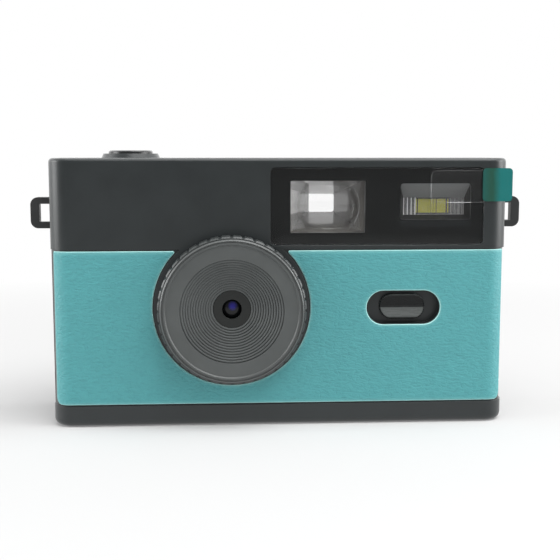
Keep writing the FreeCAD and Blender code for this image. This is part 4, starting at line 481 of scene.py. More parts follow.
def flash_reflector():
    """Satin funnel with painted light and shade: grey on its upper wall, which faces down, and black on the
    others.
    """
    paint = Paint("reflector_grey")
    frosting = paint.clouds(0.3 * MM)
    facing = paint.maths("ADD", paint.facing("Z"), paint.maths("MULTIPLY", frosting, 0.05))
    # Painted light and shade: the upper wall grey, the other walls black
    upper = paint.fit(facing, -0.3, -0.2, 1.0, 0.0)
    grey = paint.tones(frosting, 0.3, 0.7, rgb(112, 114, 114), rgb(124, 126, 126))
    rough = paint.fit(frosting, 0.3, 0.7, 0.62, 0.7)
    paint.set(
        Base_Color=paint.blend(upper, (0.0015, 0.0017, 0.0018, 1), grey),
        Roughness=paint.maths("SUBTRACT", rough, paint.maths("MULTIPLY", upper, 0.28)),
        Normal=paint.relief(frosting, 0.01 * MM),
    )
    return paint.material


def knob_black():
    """The knob's glossy plastic, with painted light and shade: lighter on the slope that faces up, darker on
    the slope that faces down.
    """
    paint = Paint("knob_black")
    rounded = paint.soft_edges(0.1 * MM)
    up = paint.facing("Z")
    waves = paint.clouds(3 * MM)
    hairs = paint.clouds(0.5 * MM, place=paint.stretched(*HAIRLINES))
    # Painted light and shade: darker where the knob faces down, lighter where it faces up
    tone = paint.tones(up, -0.3, -0.1, (0.003, 0.004, 0.004, 1), (0.014, 0.016, 0.016, 1))
    paint.set(
        Base_Color=paint.tones(up, 0.2, 0.4, tone, (0.088, 0.096, 0.094, 1)),
        Roughness=paint.fit(hairs, 0.45, 0.75, 0.26, 0.34),
        IOR=1.33,
        Normal=paint.relief(waves, 0.015 * MM, rounded),
    )
    return paint.material


def display():
    """The screen's cover: dark glass, a shade lighter over the display itself than round it."""
    paint = Paint("display_dark")
    low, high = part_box("lcd_window")

    def within(axis, border):
        """1 over the display along one axis, and 0 over its border."""
        half = (high[axis] - low[axis]) / 2 - border
        return paint.near(paint.along("XYZ"[axis]), (low[axis] + high[axis]) / 2, half, half + 0.05 * MM)

    inside = paint.maths("MULTIPLY", within(0, DISPLAY_BORDER_X * MM), within(2, DISPLAY_BORDER_Z * MM))
    smears = paint.clouds(7 * MM, place=paint.stretched(1.0, 1.0, 0.4))
    paint.set(
        Base_Color=paint.blend(inside, (0.003, 0.003, 0.003, 1), (0.013, 0.015, 0.019, 1)),
        Roughness=paint.fit(smears, 0.45, 0.75, 0.04, 0.12),
        IOR=1.5,
    )
    return paint.material


MATERIALS = {
    "case_black": moulded("case_black", (0.016, 0.02, 0.021, 1), 0.34, joint_and_painted_shade=covers_joint),
    "leather_teal": leatherette(),
    "clear_panel": panel_acrylic(),
    "mask_black": printed_mask(),
    "film_clear": clear_film(),
    "tab_green": tab_film(),
    "optic_clear": clear_optic(),
    "finder_grey": polished("finder_grey", rgb(108, 106, 101), 0.05, ior=1.75),
    "eyepiece_black": moulded("eyepiece_black", (0.02, 0.021, 0.022, 1), 0.4),
    "reflector_grey": flash_reflector(),
    "led_yellow": led_phosphor(),
    "board_green": circuit_board("board_green", rgb(24, 88, 52)),
    "ring_black": moulded("ring_black", (0.031, 0.036, 0.036, 1), 0.36),
    # Painted shade: the cone's step walls and the flat ring round it are darkened
    "cone_black": moulded(
        "cone_black", (0.1, 0.109, 0.108, 1), 0.38, edge=0.05 * MM, wear=0.25, joint_and_painted_shade=cone_painted_shade
    ),
    "barrel_black": moulded("barrel_black", (0.007, 0.009, 0.008, 1), 0.5),
    "lens_glass": lens_glass(),
    "filter_glass": polished("filter_glass", rgb(90, 130, 128), 0.06),
    "chip_black": moulded("chip_black", (0.02, 0.02, 0.021, 1), 0.5),
    "button_black": polished("button_black", (0.014, 0.015, 0.016, 1), 0.22),
    "steel": metal("steel", (0.58, 0.57, 0.55, 1), 0.28),
    "screw_black": metal("screw_black", (0.09, 0.09, 0.09, 1), 0.36),
    "brass": metal("brass", (0.78, 0.57, 0.25, 1), 0.26),
    "battery_foil": metal("battery_foil", (0.6, 0.61, 0.62, 1), 0.34, brush=(0.1, 1.0, 1.0)),
    "white_plastic": moulded("white_plastic", rgb(222, 220, 212), 0.42, wear=0.0),
    "screen_dark": display(),
    "light_pipe": polished("light_pipe", rgb(196, 200, 196), 0.2),
    "card_black": moulded("card_black", (0.018, 0.018, 0.018, 1), 0.48),
}

# Nodes whose finish differs from that of their slot
OWN_FINISH = {
    "flash_lens": ribbed_window(),
    "flash_board": circuit_board("board_grey", rgb(52, 54, 55)),
}

for name, item in NODES.items():
    item.data.materials.clear()
    item.data.materials.append(OWN_FINISH.get(name) or MATERIALS[SLOT_OF[name]])


def add_mesh(name, mesh, body, slot, *replaced):
    """Puts a finished mesh into the scene as a piece that rides on a body and takes the slot's finish."""
    item = bpy.data.objects.new(name, mesh)
    bpy.context.scene.collection.objects.link(item)
    if not mesh.materials:
        mesh.materials.append(MATERIALS[slot])
    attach(item, body)
    if replaced:
        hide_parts(*replaced)


def arc(x, z, radius, first, last, step):
    """Points along an arc, from one angle in degrees to another."""
    count = max(3, math.ceil(math.radians(abs(last - first)) * radius / step))
    angles = [math.radians(first + (last - first) * i / count) for i in range(count + 1)]
    return [(x + radius * math.cos(angle), z + radius * math.sin(angle)) for angle in angles]


def fillet(before, corner, after, radius):
    """Points of the arc that rounds a corner between two straight runs."""
    corner = Vector(corner)
    first, second = (Vector(before) - corner).normalized(), (Vector(after) - corner).normalized()
    half = first.angle(second) / 2
    centre = corner + (first + second).normalized() * (radius / math.sin(half))
    start, end = (corner + side * (radius / math.tan(half)) - centre for side in (first, second))
    begin = math.atan2(start.y, start.x)
    turn = (math.atan2(end.y, end.x) - begin + math.pi) % math.tau - math.pi
    return arc(centre.x, centre.y, radius, math.degrees(begin), math.degrees(begin + turn), radius / 4)


def evened(corners, step):
    """A closed outline through the corners, with its points no further apart than the step."""
    points = []
    for first, last in zip(corners, corners[1:] + corners[:1]):
        count = max(1, math.ceil(math.dist(first, last) / step))
        points += [
            (first[0] + (last[0] - first[0]) * i / count, first[1] + (last[1] - first[1]) * i / count)
            for i in range(count)
        ]
    return points


def rounded_box(left, right, bottom, top, radii, step):
    """An outline with its own radius at each corner, from the lower left anticlockwise."""
    spots = ((left, bottom, 180), (right, bottom, 270), (right, top, 0), (left, top, 90))
    corners = []
    for (x, z, start), radius in zip(spots, radii):
        inward_x, inward_z = (1 if x == left else -1), (1 if z == bottom else -1)
        corners += arc(x + inward_x * radius, z + inward_z * radius, radius, start, start + 90, step)
    return evened(corners, step)


POINTS_AT_ONCE = 2000


def inset_of(loops, points):
    """How far each point lies inside the outlines, and less than zero for one that is outside them."""
    starts = np.concatenate([np.array(loop) for loop in loops])
    ends = np.concatenate([np.roll(np.array(loop), -1, axis=0) for loop in loops])
    along = ends - starts
    rise = np.where(along[:, 1] == 0, 1e-12, along[:, 1])
    found = []
    for first in range(0, len(points), POINTS_AT_ONCE):
        part = np.asarray(points)[first:first + POINTS_AT_ONCE, None, :]
        share = np.clip(((part - starts) * along).sum(2) / (along ** 2).sum(1), 0, 1)
        near = np.linalg.norm(starts + share[..., None] * along - part, axis=2).min(1)
        level = (starts[:, 1] > part[..., 1]) != (ends[:, 1] > part[..., 1])
        crossed = level & (part[..., 0] < starts[:, 0] + (part[..., 1] - starts[:, 1]) * along[:, 0] / rise)
        found.append(np.where(crossed.sum(1) % 2 == 1, near, -near))
    return np.concatenate(found)


def cut_triangles(loops, inner_points):
    """Points and triangles of the area within the outlines, with the outlines' points first."""
    border = [Vector(point) for loop in loops for point in loop]
    edges, first = [], 0
    for loop in loops:
        edges += [(first + i, first + (i + 1) % len(loop)) for i in range(len(loop))]
        first += len(loop)
    points = border + [Vector(point) for point in inner_points]
    made, _, faces, origin, _, _ = geometry.delaunay_2d_cdt(points, edges, [], 0, 1e-9, True)
    middles = [sum((made[i] for i in face), Vector((0, 0))) / 3 for face in faces]
    inside = inset_of(loops, [tuple(middle) for middle in middles]) > 0
    source = {new: old[0] for new, old in enumerate(origin) if old}
    return points, [[source[i] for i in face] for face, kept in zip(faces, inside) if kept]


# Where rings of points follow an outline over its rounded edge, as shares of the rounding
EDGE_RINGS = (0.12, 0.4, 0.75, 1.15)
# The flat back needs only every so many points of the grid, well inside the outlines
BACK_THINNING = 7


def sheet_mesh(name, loops, step, rounding, thickness, place, lift=None):
    """A closed sheet cut to outlines, with a rounded upper edge, in millimetres until it is placed."""
    border = np.concatenate([np.array(loop) for loop in loops])
    low, high = border.min(0), border.max(0)
    columns, rows = (np.arange(low[i] + step / 2, high[i], step) for i in (0, 1))
    grid = np.stack(np.meshgrid(columns, rows), -1).reshape(-1, 2)
    inner = [grid[inset_of(loops, grid) > rounding * 1.4 + step * 0.3]]
    for share in EDGE_RINGS:
        for loop in loops:
            ring = np.array(loop)
            along = np.roll(ring, -1, axis=0) - np.roll(ring, 1, axis=0)
            normal = np.stack([-along[:, 1], along[:, 0]], 1) / np.linalg.norm(along, axis=1)[:, None]
            for side in (1, -1):
                moved = ring + normal * side * rounding * share
                inner.append(moved[np.abs(inset_of(loops, moved) - rounding * share) < rounding * 0.05])
    points, front = cut_triangles(loops, np.concatenate(inner))
    points = np.array([tuple(point) for point in points])
    depth = np.maximum(inset_of(loops, points), 0)
    depth[:len(border)] = 0
    drop = rounding - np.sqrt(np.maximum(rounding ** 2 - np.maximum(rounding - depth, 0) ** 2, 0))
    height = -drop
    if lift:
        height = height + np.array([lift(x, z, inset) for (x, z), inset in zip(points, depth)])
    verts = [place(x, z, h) for (x, z), h in zip(points, height)]
    back_grid = grid[inset_of(loops, grid) > 4 * step][::BACK_THINNING]
    back_points, back = cut_triangles(loops, back_grid)
    offset = len(verts)
    verts += [place(point[0], point[1], -thickness) for point in back_points]
    faces = list(front) + [[offset + i for i in reversed(face)] for face in back]
    sides, first = [], 0
    for loop in loops:
        for i in range(len(loop)):
            here, after = first + i, first + (i + 1) % len(loop)
            sides.append([here, after, offset + after, offset + here])
        first += len(loop)
    mesh = bpy.data.meshes.new(name)
    mesh.from_pydata([tuple(value * MM for value in vert) for vert in verts], [], faces + sides)
    mesh.polygons.foreach_set("use_smooth", [True] * len(front) + [False] * (len(back) + len(sides)))
    mesh.update()
    evenly_facing(mesh)
    return mesh


def evenly_facing(mesh):
    """Turns every face outwards."""
    work = bmesh.new()
    work.from_mesh(mesh)
    bmesh.ops.recalc_face_normals(work, faces=work.faces)
    work.to_mesh(mesh)
    work.free()


def oval_outline(x, z, length, height, step):
    """An oval with straight sides and half-round ends."""
    straight, radius = (length - height) / 2, height / 2
    ends = arc(x + straight, z, radius, -90, 90, step) + arc(x - straight, z, radius, 90, 270, step)
    return evened(ends, step)


def facing_front(y):
    """Lays a sheet upright with its face at y, towards the front."""
    return lambda x, z, height: (x, y - height, z)


def facing_back(y):
    """Lays a sheet upright with its face at y, towards the back."""
    return lambda x, z, height: (x, y + height, z)


TURN_COUNT = 256
TURNED_SHARP_ANGLE, GLASS_SHARP_ANGLE = math.radians(25), math.radians(20)
WELD_DISTANCE = 0.2e-3 * MM


def turned_mesh(name, profile):
    """A solid of revolution about the lens's axis, from a closed outline of (radius, y) in millimetres."""
    rows = len(profile)
    turns = [math.tau * i / TURN_COUNT for i in range(TURN_COUNT)]
    verts = [
        ((LENS_X + radius * math.cos(turn)) * MM, y * MM, (LENS_Z + radius * math.sin(turn)) * MM)
        for turn in turns for radius, y in profile
    ]
    faces = []
    for i in range(TURN_COUNT):
        here, after = i * rows, (i + 1) % TURN_COUNT * rows
        faces += [(here + j, here + (j + 1) % rows, after + (j + 1) % rows, after + j) for j in range(rows)]
    mesh = bpy.data.meshes.new(name)
    mesh.from_pydata(verts, [], faces)
    evenly_facing(mesh)
    mesh.polygons.foreach_set("use_smooth", [True] * len(faces))
    mesh.set_sharp_from_angle(angle=TURNED_SHARP_ANGLE)
    return mesh


def evenly_shaded(name, node):
    """A copy of a node's mesh with its shading worked out afresh, for round glass."""
    work = bmesh.new()
    work.from_mesh(NODES[node].data)
    bmesh.ops.remove_doubles(work, verts=work.verts, dist=WELD_DISTANCE)
    work.verts.index_update()
    verts = [tuple(vert.co) for vert in work.verts]
    faces = [[vert.index for vert in face.verts] for face in work.faces]
    work.free()
    mesh = bpy.data.meshes.new(name)
    mesh.from_pydata(verts, [], faces)
    mesh.polygons.foreach_set("use_smooth", [True] * len(faces))
    mesh.set_sharp_from_angle(angle=GLASS_SHARP_ANGLE)
    return mesh


# The leatherette: a band round the front, wrapped over the rounded ends of the case
CORNER_RADIUS = 5.0
CORNER_X, CORNER_Y = 54.0, CASE_FRONT + CORNER_RADIUS
LEATHER_PROUD, LEATHER_THICKNESS, LEATHER_ROUNDING = 0.1, 0.44, 0.22
LEATHER_BOTTOM, LEATHER_TOP = 5.92, 45.68
LEATHER_GRID, LEATHER_STEP = 0.6, 0.35
LOWER_FILLET, UPPER_FILLET = 2.0, 0.4
WRAP_RADIUS = CORNER_RADIUS + LEATHER_PROUD
WRAP_ANGLE = math.radians(52)
WRAP_END = CORNER_X + WRAP_RADIUS * WRAP_ANGLE
LEATHER_HOLE = 20.25
# Degrees of the hole's arc that the rounding of each tip takes up
TIP_ANGLE = 3.2
SWITCH_HOLE_LENGTH, SWITCH_HOLE_HEIGHT = 19.2, 8.86
EDGE_HIGHLIGHT_WIDTH = 0.28
# The unevenness: broad waves and smaller ones, given by their sizes along the band and up it
BROAD_WAVE, SMALL_WAVE, SMALL_SHARE = (4.0, 3.0), (1.6, 1.2), 0.6
WAVE_HEIGHT, WAVE_SINK = 0.018, 1.6
DROOP_DEPTH, DROOP_WIDTH = 0.05, 0.5


def leather_outline():
    """The band laid flat: its lens hole is open at the top, and the knob's hole is an oval."""
    mouth = math.asin((LEATHER_TOP - LENS_Z) / LEATHER_HOLE)
    reach = LEATHER_HOLE * math.cos(mouth)
    slope_x, slope_z = math.sin(mouth), -math.cos(mouth)
    right_tip, left_tip = (LENS_X + reach, LEATHER_TOP), (LENS_X - reach, LEATHER_TOP)
    right_low, right_high = (WRAP_END, LEATHER_BOTTOM), (WRAP_END, LEATHER_TOP)
    left_low, left_high = (-WRAP_END, LEATHER_BOTTOM), (-WRAP_END, LEATHER_TOP)
    turn = math.degrees(mouth) - TIP_ANGLE
    outer = (
        fillet((0, LEATHER_BOTTOM), right_low, right_high, LOWER_FILLET)
        + fillet(right_low, right_high, (0, LEATHER_TOP), UPPER_FILLET)
        + fillet(right_high, right_tip, (right_tip[0] + slope_x, right_tip[1] + slope_z), UPPER_FILLET)
        + arc(LENS_X, LENS_Z, LEATHER_HOLE, turn, -180 - turn, LEATHER_STEP)
        + fillet((left_tip[0] - slope_x, left_tip[1] + slope_z), left_tip, left_high, UPPER_FILLET)
        + fillet((0, LEATHER_TOP), left_high, left_low, UPPER_FILLET)
        + fillet(left_high, left_low, (0, LEATHER_BOTTOM), LOWER_FILLET)
    )
    oval = oval_outline(SWITCH_X, SWITCH_Z, SWITCH_HOLE_LENGTH, SWITCH_HOLE_HEIGHT, LEATHER_STEP)
    return [evened(outer, LEATHER_STEP), oval]


def leather_place(u, z, height):
    """A point of the flat band, laid on the front and round the corners."""
    if abs(u) <= CORNER_X:
        return u, CASE_FRONT - LEATHER_PROUD - height, z
    angle = (abs(u) - CORNER_X) / WRAP_RADIUS
    reach = WRAP_RADIUS + height
    return math.copysign(CORNER_X + reach * math.sin(angle), u), CORNER_Y - reach * math.cos(angle), z


def leather_lift(u, z, inset):
    """Soft unevenness of the sheet, and the droop of its cut edge."""
    broad = noise.noise(Vector((u / BROAD_WAVE[0], z / BROAD_WAVE[1], 0.3)))
    small = noise.noise(Vector((u / SMALL_WAVE[0], z / SMALL_WAVE[1], 7.7)))
    waves = broad + SMALL_SHARE * small
    return WAVE_HEIGHT * (waves - WAVE_SINK) - DROOP_DEPTH * math.exp(-inset / DROOP_WIDTH)


def mark_edge_highlight(mesh, loops, width):
    """Stores how near each point of the band is to its cut edge, where a painted highlight makes the band
    paler.
    """
    flat = []
    for vert in mesh.vertices:
        x, y, z = vert.co / MM
        if abs(x) > CORNER_X:
            angle = math.atan2(abs(x) - CORNER_X, CORNER_Y - y)
            x = math.copysign(CORNER_X + WRAP_RADIUS * angle, x)
        flat.append((x, z))
    values = np.clip(1.5 * (1 - np.maximum(inset_of(loops, np.array(flat)), 0) / width), 0, 1)
    mesh.attributes.new("edge_highlight", "FLOAT", "POINT").data.foreach_set("value", values)


LEATHER_LOOPS = leather_outline()
LEATHER_MESH = sheet_mesh(
    "leather_wrap", LEATHER_LOOPS, LEATHER_GRID, LEATHER_ROUNDING, LEATHER_THICKNESS,
    leather_place, leather_lift,
)
mark_edge_highlight(LEATHER_MESH, LEATHER_LOOPS, EDGE_HIGHLIGHT_WIDTH)
add_mesh("leather_wrap", LEATHER_MESH, "case", "leather_teal", "leather_skin")

# The window panel: a clear plate with softly rounded edges, and the black print with two windows behind it
PANEL_FRONT, PANEL_BACK = -10.75, -9.77
MASK_FRONT, MASK_BACK = -9.74, -9.57
FILM_FRONT, FILM_THICKNESS, FILM_EDGE_WIDTH = -10.86, 0.06, 0.1
PLATE_GRID, WINDOW_STEP, FILM_STEP = 2.0, 0.4, 0.3
FILM_RADII, LEAST_RADIUS = (0.8, 0.2, 0.2, 1.5), 0.05
PANEL_OUTLINE = rounded_box(PANEL_LEFT, PANEL_RIGHT, PANEL_BOTTOM, PANEL_TOP, (1.3,) * 4, WINDOW_STEP)
FINDER_WINDOW = rounded_box(2.5, 21.7, 50.1, 63.4, (0.15,) * 4, WINDOW_STEP)
FLASH_RADII = (0.5, 0.5, 0.9, 0.9)
FLASH_WINDOW = rounded_box(FLASH_LEFT, FLASH_RIGHT, FLASH_BOTTOM, FLASH_TOP, FLASH_RADII, WINDOW_STEP)


def plate_mesh(name, loops, rounding, front, thickness):
    return sheet_mesh(name, loops, PLATE_GRID, rounding, thickness, facing_front(front))


PANEL_MESH = plate_mesh("window_plate", [PANEL_OUTLINE], 0.3, PANEL_FRONT, PANEL_BACK - PANEL_FRONT)
add_mesh("window_plate", PANEL_MESH, "case", "clear_panel", "window_panel")
MASK_LOOPS = [PANEL_OUTLINE, FINDER_WINDOW, FLASH_WINDOW]
MASK_MESH = plate_mesh("mask_print", MASK_LOOPS, 0.02, MASK_FRONT, MASK_BACK - MASK_FRONT)
add_mesh("mask_print", MASK_MESH, "case", "mask_black", "panel_mask")


# The protective film: little but its cut edge shows, so that has a piece and a finish of its own, a pale line
# with painted highlights
def film_outline(inset):
    """The film's outline, or a line that much further in."""
    radii = [max(radius - inset, LEAST_RADIUS) for radius in FILM_RADII]
    left, right = FILM_LEFT + inset, FILM_RIGHT - inset
    return rounded_box(left, right, FILM_BOTTOM + inset, FILM_TOP - inset, radii, FILM_STEP)


FILM_INNER = film_outline(FILM_EDGE_WIDTH)
FILM_MESH = plate_mesh("film_sheet", [FILM_INNER], 0.01, FILM_FRONT, FILM_THICKNESS)
add_mesh("film_sheet", FILM_MESH, "case", "film_clear", "protective_film")
FILM_EDGE = plate_mesh("film_edge", [film_outline(0.0), FILM_INNER], 0.02, FILM_FRONT, FILM_THICKNESS)
FILM_EDGE.materials.append(film_edge())
add_mesh("film_edge", FILM_EDGE, "case", "film_clear")


# Round glass
def add_glass(name, node, body, slot):
    add_mesh(name, evenly_shaded(name, node), body, slot, node)


add_glass("finder_front_glass", "viewfinder_front_lens", "case", "optic_clear")
add_glass("finder_rear_glass", "viewfinder_rear_lens", "case", "optic_clear")
add_glass("front_glass", "lens_front_element", "barrel", "lens_glass")

# The front disc of the lens, with its stepped cone: the steps' faces lean forward towards the middle
DISC_RADIUS, DISC_FACE, RING_FACE = 18.15, -18.15, -17.15
DISC_BACK = RING_FACE - 0.02
RIM_CHAMFER_WIDTH, RIM_CHAMFER_DEPTH = 0.34, 0.36
# The groove near the rim: its depth, and how far in from the rim its walls and its bed begin and end
RIM_GROOVE_DEPTH = 0.22
MOUTH_OUTER, BED_OUTER, BED_INNER, MOUTH_INNER = 0.4, 0.45, 0.75, 0.82
LIP_RADIUS, LIP_BEVEL, LIP_ROUND, LIP_SLOPE, FLAT_FACE = 16.8, 0.12, 0.1, 0.15, -17.85
CONE_HOLE, CONE_STEPS, CONE_DEPTH, CONE_SKIN = 4.9, 13, 4.5, 1.2
SPIGOT_RADIUS, SPIGOT_LENGTH, SPIGOT_SHOULDER = 15.5, 1.3, 0.65
STEP_LEAN, STEP_NOSE_WIDTH, STEP_NOSE_DEPTH = 0.1, 0.06, 0.04
GROOVE_DEPTH, GROOVE_WIDTH, GROOVE_UNDERCUT = 0.36, 0.09, 0.06


def cone_profile():
    """Half the section, as radii and depths: the rim, each step with the groove outside it, and the back."""
    tread, riser = (CONE_RADIUS - CONE_HOLE) / CONE_STEPS, CONE_DEPTH / CONE_STEPS
    points = [
        (DISC_RADIUS, DISC_BACK), (DISC_RADIUS, DISC_FACE + RIM_CHAMFER_DEPTH),
        (DISC_RADIUS - RIM_CHAMFER_WIDTH, DISC_FACE), (DISC_RADIUS - MOUTH_OUTER, DISC_FACE),
        (DISC_RADIUS - BED_OUTER, DISC_FACE + RIM_GROOVE_DEPTH),
        (DISC_RADIUS - BED_INNER, DISC_FACE + RIM_GROOVE_DEPTH),
        (DISC_RADIUS - MOUTH_INNER, DISC_FACE), (LIP_RADIUS + LIP_BEVEL, DISC_FACE),
        (LIP_RADIUS, DISC_FACE + LIP_ROUND), (LIP_RADIUS - LIP_SLOPE, FLAT_FACE), (CONE_RADIUS, FLAT_FACE),
    ]
    for step in range(CONE_STEPS):
        radius = CONE_RADIUS - tread * step
        depth = FLAT_FACE + riser * (step + 1)
        points += [
            (radius + GROOVE_UNDERCUT, depth + GROOVE_DEPTH),
            (radius - GROOVE_WIDTH, depth + STEP_LEAN / 2),
            (radius - tread + STEP_NOSE_WIDTH, depth - STEP_LEAN / 2),
            (radius - tread, depth - STEP_LEAN / 2 + STEP_NOSE_DEPTH),
        ]
    nose_back, spigot_end = FLAT_FACE + CONE_DEPTH + CONE_SKIN, RING_FACE + SPIGOT_LENGTH
    return points + [
        (CONE_HOLE, nose_back), (CONE_HOLE + CONE_SKIN, nose_back),
        (CONE_RADIUS + CONE_SKIN, RING_FACE + SPIGOT_SHOULDER), (CONE_RADIUS + CONE_SKIN, spigot_end),
        (SPIGOT_RADIUS, spigot_end), (SPIGOT_RADIUS, DISC_BACK),
    ]


CONE_MESH = turned_mesh("lens_baffle", cone_profile())
add_mesh("lens_baffle", CONE_MESH, "focus", "cone_black", "lens_cone")

# The sliding knob: an oval cap with a scoop of two slopes, and the stem that goes down through its slot
KNOB_LENGTH, KNOB_HEIGHT, KNOB_ROUNDING = 11.9, 6.6, 0.35
KNOB_GRID, KNOB_STEP = 0.28, 0.3
KNOB_FACE, KNOB_BACK, STEM_BACK = -9.65, -8.15, -5.15
STEM_LENGTH, STEM_HEIGHT, STEM_OVERLAP = 3.0, 2.4, 0.1
SCOOP_DEPTH, SCOOP_HALF_HEIGHT, SCOOP_SOFTNESS = 1.2, 2.85, 0.001


def knob_scoop(x, z, inset):
    """How far the cap's face lies back: two slopes that meet deepest at the middle."""
    rise = 1 - abs(z - SWITCH_Z) / SCOOP_HALF_HEIGHT
    return -SCOOP_DEPTH * (math.sqrt(rise * rise + SCOOP_SOFTNESS) + rise) / 2


def knob_mesh():
    outline = oval_outline(SWITCH_X, SWITCH_Z, KNOB_LENGTH, KNOB_HEIGHT, KNOB_STEP)
    place, thickness = facing_front(KNOB_FACE), KNOB_BACK - KNOB_FACE
    mesh = sheet_mesh("switch_cap", [outline], KNOB_GRID, KNOB_ROUNDING, thickness, place, knob_scoop)
    work = bmesh.new()
    work.from_mesh(mesh)
    stem = bmesh.ops.create_cube(work, size=MM)["verts"]
    length, middle = STEM_BACK - KNOB_BACK + STEM_OVERLAP, (STEM_BACK + KNOB_BACK - STEM_OVERLAP) / 2
    bmesh.ops.scale(work, vec=(STEM_LENGTH, length, STEM_HEIGHT), verts=stem)
    bmesh.ops.translate(work, vec=Vector((SWITCH_X, middle, SWITCH_Z)) * MM, verts=stem)
    work.to_mesh(mesh)
    work.free()
    return mesh


KNOB_MESH = knob_mesh()
KNOB_MESH.materials.append(knob_black())
add_mesh("switch_cap", KNOB_MESH, "flash_switch", "button_black", "flash_switch_knob")

# Raised signs on the keys at the back
KEY_X, KEY_FACE, KEY_DISH, KEY_RADIUS = -45.0, 17.85, 0.25, 2.7
SIGN_RISE, SIGN_DEPTH = 0.06, 0.3
SIGN_STEP, SIGN_GRID, SIGN_ROUNDING = 0.15, 0.25, 0.02


def key_sign(key, loops):
    """A sign that stands a little proud of a key's dished face and reaches into it."""
    height = sum(corner[2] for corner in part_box(key + "_key")) / 2 / MM
    placed = [evened([(KEY_X + x, height + z) for x, z in loop], SIGN_STEP) for loop in loops]

    def follow(x, z, inset):
        away = math.hypot(x - KEY_X, z - height) / KEY_RADIUS
        return -KEY_DISH * (1 - away * away)

    name, place = key + "_key_sign", facing_back(KEY_FACE + SIGN_RISE)
    mesh = sheet_mesh(name, placed, SIGN_GRID, SIGN_ROUNDING, SIGN_DEPTH, place, follow)
    add_mesh(name, mesh, key, "white_plastic")


def bar(x, z, width, height):
    """The outline of an upright or level bar about a middle."""
    left, low = x - width / 2, z - height / 2
    return [(left, low), (left + width, low), (left + width, low + height), (left, low + height)]


# The power sign's ring: its middle and radii, and the angles between which it runs, open at the top
RING_Z, RING_OUTER, RING_INNER = -0.1, 1.35, 1.0
RING_FROM, RING_TO = 125, 415
POWER_RING = (
    arc(0, RING_Z, RING_OUTER, RING_FROM, RING_TO, SIGN_STEP)
    + arc(0, RING_Z, RING_INNER, RING_TO, RING_FROM, SIGN_STEP)
)
key_sign("power", [POWER_RING, bar(0, 0.95, 0.34, 1.5)])
key_sign("playback", [[(-1.2, 0.0), (0.8, -1.2), (0.8, 1.2)]])
key_sign("up", [[(-1.2, -0.7), (1.2, -0.7), (0.0, 1.0)]])
key_sign("down", [[(-1.2, 0.7), (0.0, -1.0), (1.2, 0.7)]])
key_sign("menu", [bar(0, -0.85, 2.3, 0.32), bar(0, 0, 2.3, 0.32), bar(0, 0.85, 2.3, 0.32)])

# The photograph's camera: where it stands, where it looks and its angle of view.
CAMERA_PLACE = (-15.6 * MM, -270.65 * MM, 70.7 * MM)
CAMERA_TURN = math.radians(3.38)
CAMERA_TILT = math.radians(7.14)
FOCAL_PIXELS = 1022
IMAGE_PIXELS = 560


def make_camera():
    data = bpy.data.cameras.new("camera")
    data.sensor_width = 36.0
    data.lens = data.sensor_width * FOCAL_PIXELS / IMAGE_PIXELS
    data.clip_start = 0.01
    camera = bpy.data.objects.new("camera", data)
    camera.location = CAMERA_PLACE
    camera.rotation_euler = (math.radians(90) - CAMERA_TILT, 0, -CAMERA_TURN)
    bpy.context.scene.collection.objects.link(camera)
    bpy.context.scene.camera = camera


class Stage(Nodes):
    """Nodes of the surroundings, which can tell the rays that meet them apart."""

    def __init__(self, tree):
        super().__init__(tree)
        path = self.node("ShaderNodeLightPath")
        self.camera = path.outputs["Is Camera Ray"]
        self.glossy = path.outputs["Is Glossy Ray"]
        self.through = path.outputs["Is Transmission Ray"]

    def pick(self, share, first, second):
        return self.node("ShaderNodeMix", {0: share, 2: first, 3: second}).outputs[0]

    def seen(self):
        """1 for rays that should meet white surroundings: from the camera, or through glass."""
        return self.maths("MAXIMUM", self.camera, self.through)


# Strengths, where 1 shows as white: what lights the object, and what its glossy faces mirror
SKY_LIGHT = 0.55
FRONT_SHADE, BACK_SHINE = 0.35, 2.1
FLOOR_TONE = (0.63, 0.63, 0.63, 1)
# Metres along each side
FLOOR_SIZE = 6.0
# Metres from the middle over which the floor goes over from showing the shadow to plain white
SHADOW_NEAR, SHADOW_FAR, SHADOW_GLOW = 0.09, 0.32, 0.12
# Where mirrored surroundings go from the dim front to the bright back: a ray's slope, metres of floor
SKY_TURN, FLOOR_TURN = (-0.75, 0.1), (-0.6, -0.15)


def make_world():
    """A white room, whose front side, where the photographer stands, glossy faces mirror as dimmer."""
    world = bpy.data.worlds.new("studio")
    world.use_nodes = True
    bpy.context.scene.world = world
    stage = Stage(world.node_tree)
    way = stage.node("ShaderNodeTexCoord").outputs["Generated"]
    back = stage.node("ShaderNodeSeparateXYZ", {0: way}).outputs["Y"]
    mirrored = stage.fit(back, *SKY_TURN, FRONT_SHADE, BACK_SHINE)
    strength = stage.pick(stage.glossy, SKY_LIGHT, mirrored)
    background = world.node_tree.nodes["Background"]
    stage.feed(background.inputs["Color"], WHITE)
    stage.feed(background.inputs["Strength"], stage.pick(stage.seen(), strength, 1.0))


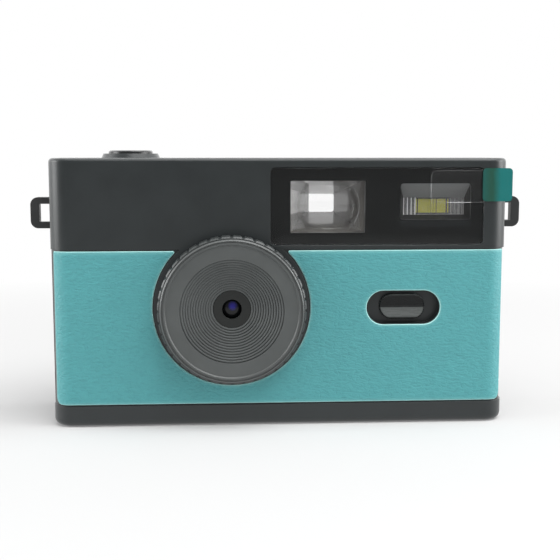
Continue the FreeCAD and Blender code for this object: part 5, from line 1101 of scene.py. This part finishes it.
def make_floor():
    """A white floor that keeps the object's shadow, and lights the object less than it looks."""
    mesh = bpy.data.meshes.new("floor")
    half = FLOOR_SIZE / 2
    corners = [(-half, -half, 0), (half, -half, 0), (half, half, 0), (-half, half, 0)]
    mesh.from_pydata(corners, [], [(0, 1, 2, 3)])
    floor = bpy.data.objects.new("floor", mesh)
    bpy.context.scene.collection.objects.link(floor)
    material = bpy.data.materials.new("floor_white")
    material.use_nodes = True
    material.node_tree.nodes.remove(material.node_tree.nodes["Principled BSDF"])
    stage = Stage(material.node_tree)
    place = stage.node("ShaderNodeTexCoord").outputs["Object"]
    away = stage.node("ShaderNodeVectorMath", {0: place}, operation="LENGTH").outputs["Value"]
    back = stage.node("ShaderNodeSeparateXYZ", {0: place}).outputs["Y"]
    mirrored = stage.fit(back, *FLOOR_TURN, FRONT_SHADE, 1.0)
    matt = stage.node("ShaderNodeBsdfDiffuse", {"Color": FLOOR_TONE})
    strength = stage.pick(stage.glossy, 1.0, mirrored)
    glow = stage.node("ShaderNodeEmission", {"Color": WHITE, "Strength": strength})
    white = stage.fit(away, SHADOW_NEAR, SHADOW_FAR, SHADOW_GLOW, 1.0)
    share = stage.maths("MULTIPLY", white, stage.seen())
    stage.mix_surface(stage.maths("MAXIMUM", stage.glossy, share), matt, glow)
    mesh.materials.append(material)


def make_lamp(name, place, aim, size, radiance):
    """A softbox; its power follows from its size, so that its face is equally bright whatever the size."""
    data = bpy.data.lights.new(name, "AREA")
    data.shape = "RECTANGLE"
    data.size, data.size_y = size
    data.energy = radiance * math.pi * size[0] * size[1]
    lamp = bpy.data.objects.new(name, data)
    lamp.location = place
    lamp.rotation_euler = (Vector(aim) - Vector(place)).to_track_quat("-Z", "Y").to_euler()
    bpy.context.scene.collection.objects.link(lamp)


make_camera()
make_world()
make_floor()
MIDDLE = (0, 0, 35 * MM)
make_lamp("lamp_top", (0.25, -0.28, 0.85), MIDDLE, (0.9, 0.7), 4.1)
make_lamp("lamp_left", (-0.65, -0.1, 0.2), MIDDLE, (0.4, 0.4), 5.5)
make_lamp("lamp_right", (0.65, -0.1, 0.2), MIDDLE, (0.4, 0.4), 5.4)
make_lamp("lamp_front", (0.35, -0.95, 0.75), MIDDLE, (0.5, 0.4), 0.8)
bpy.context.scene.view_settings.view_transform = "Standard"
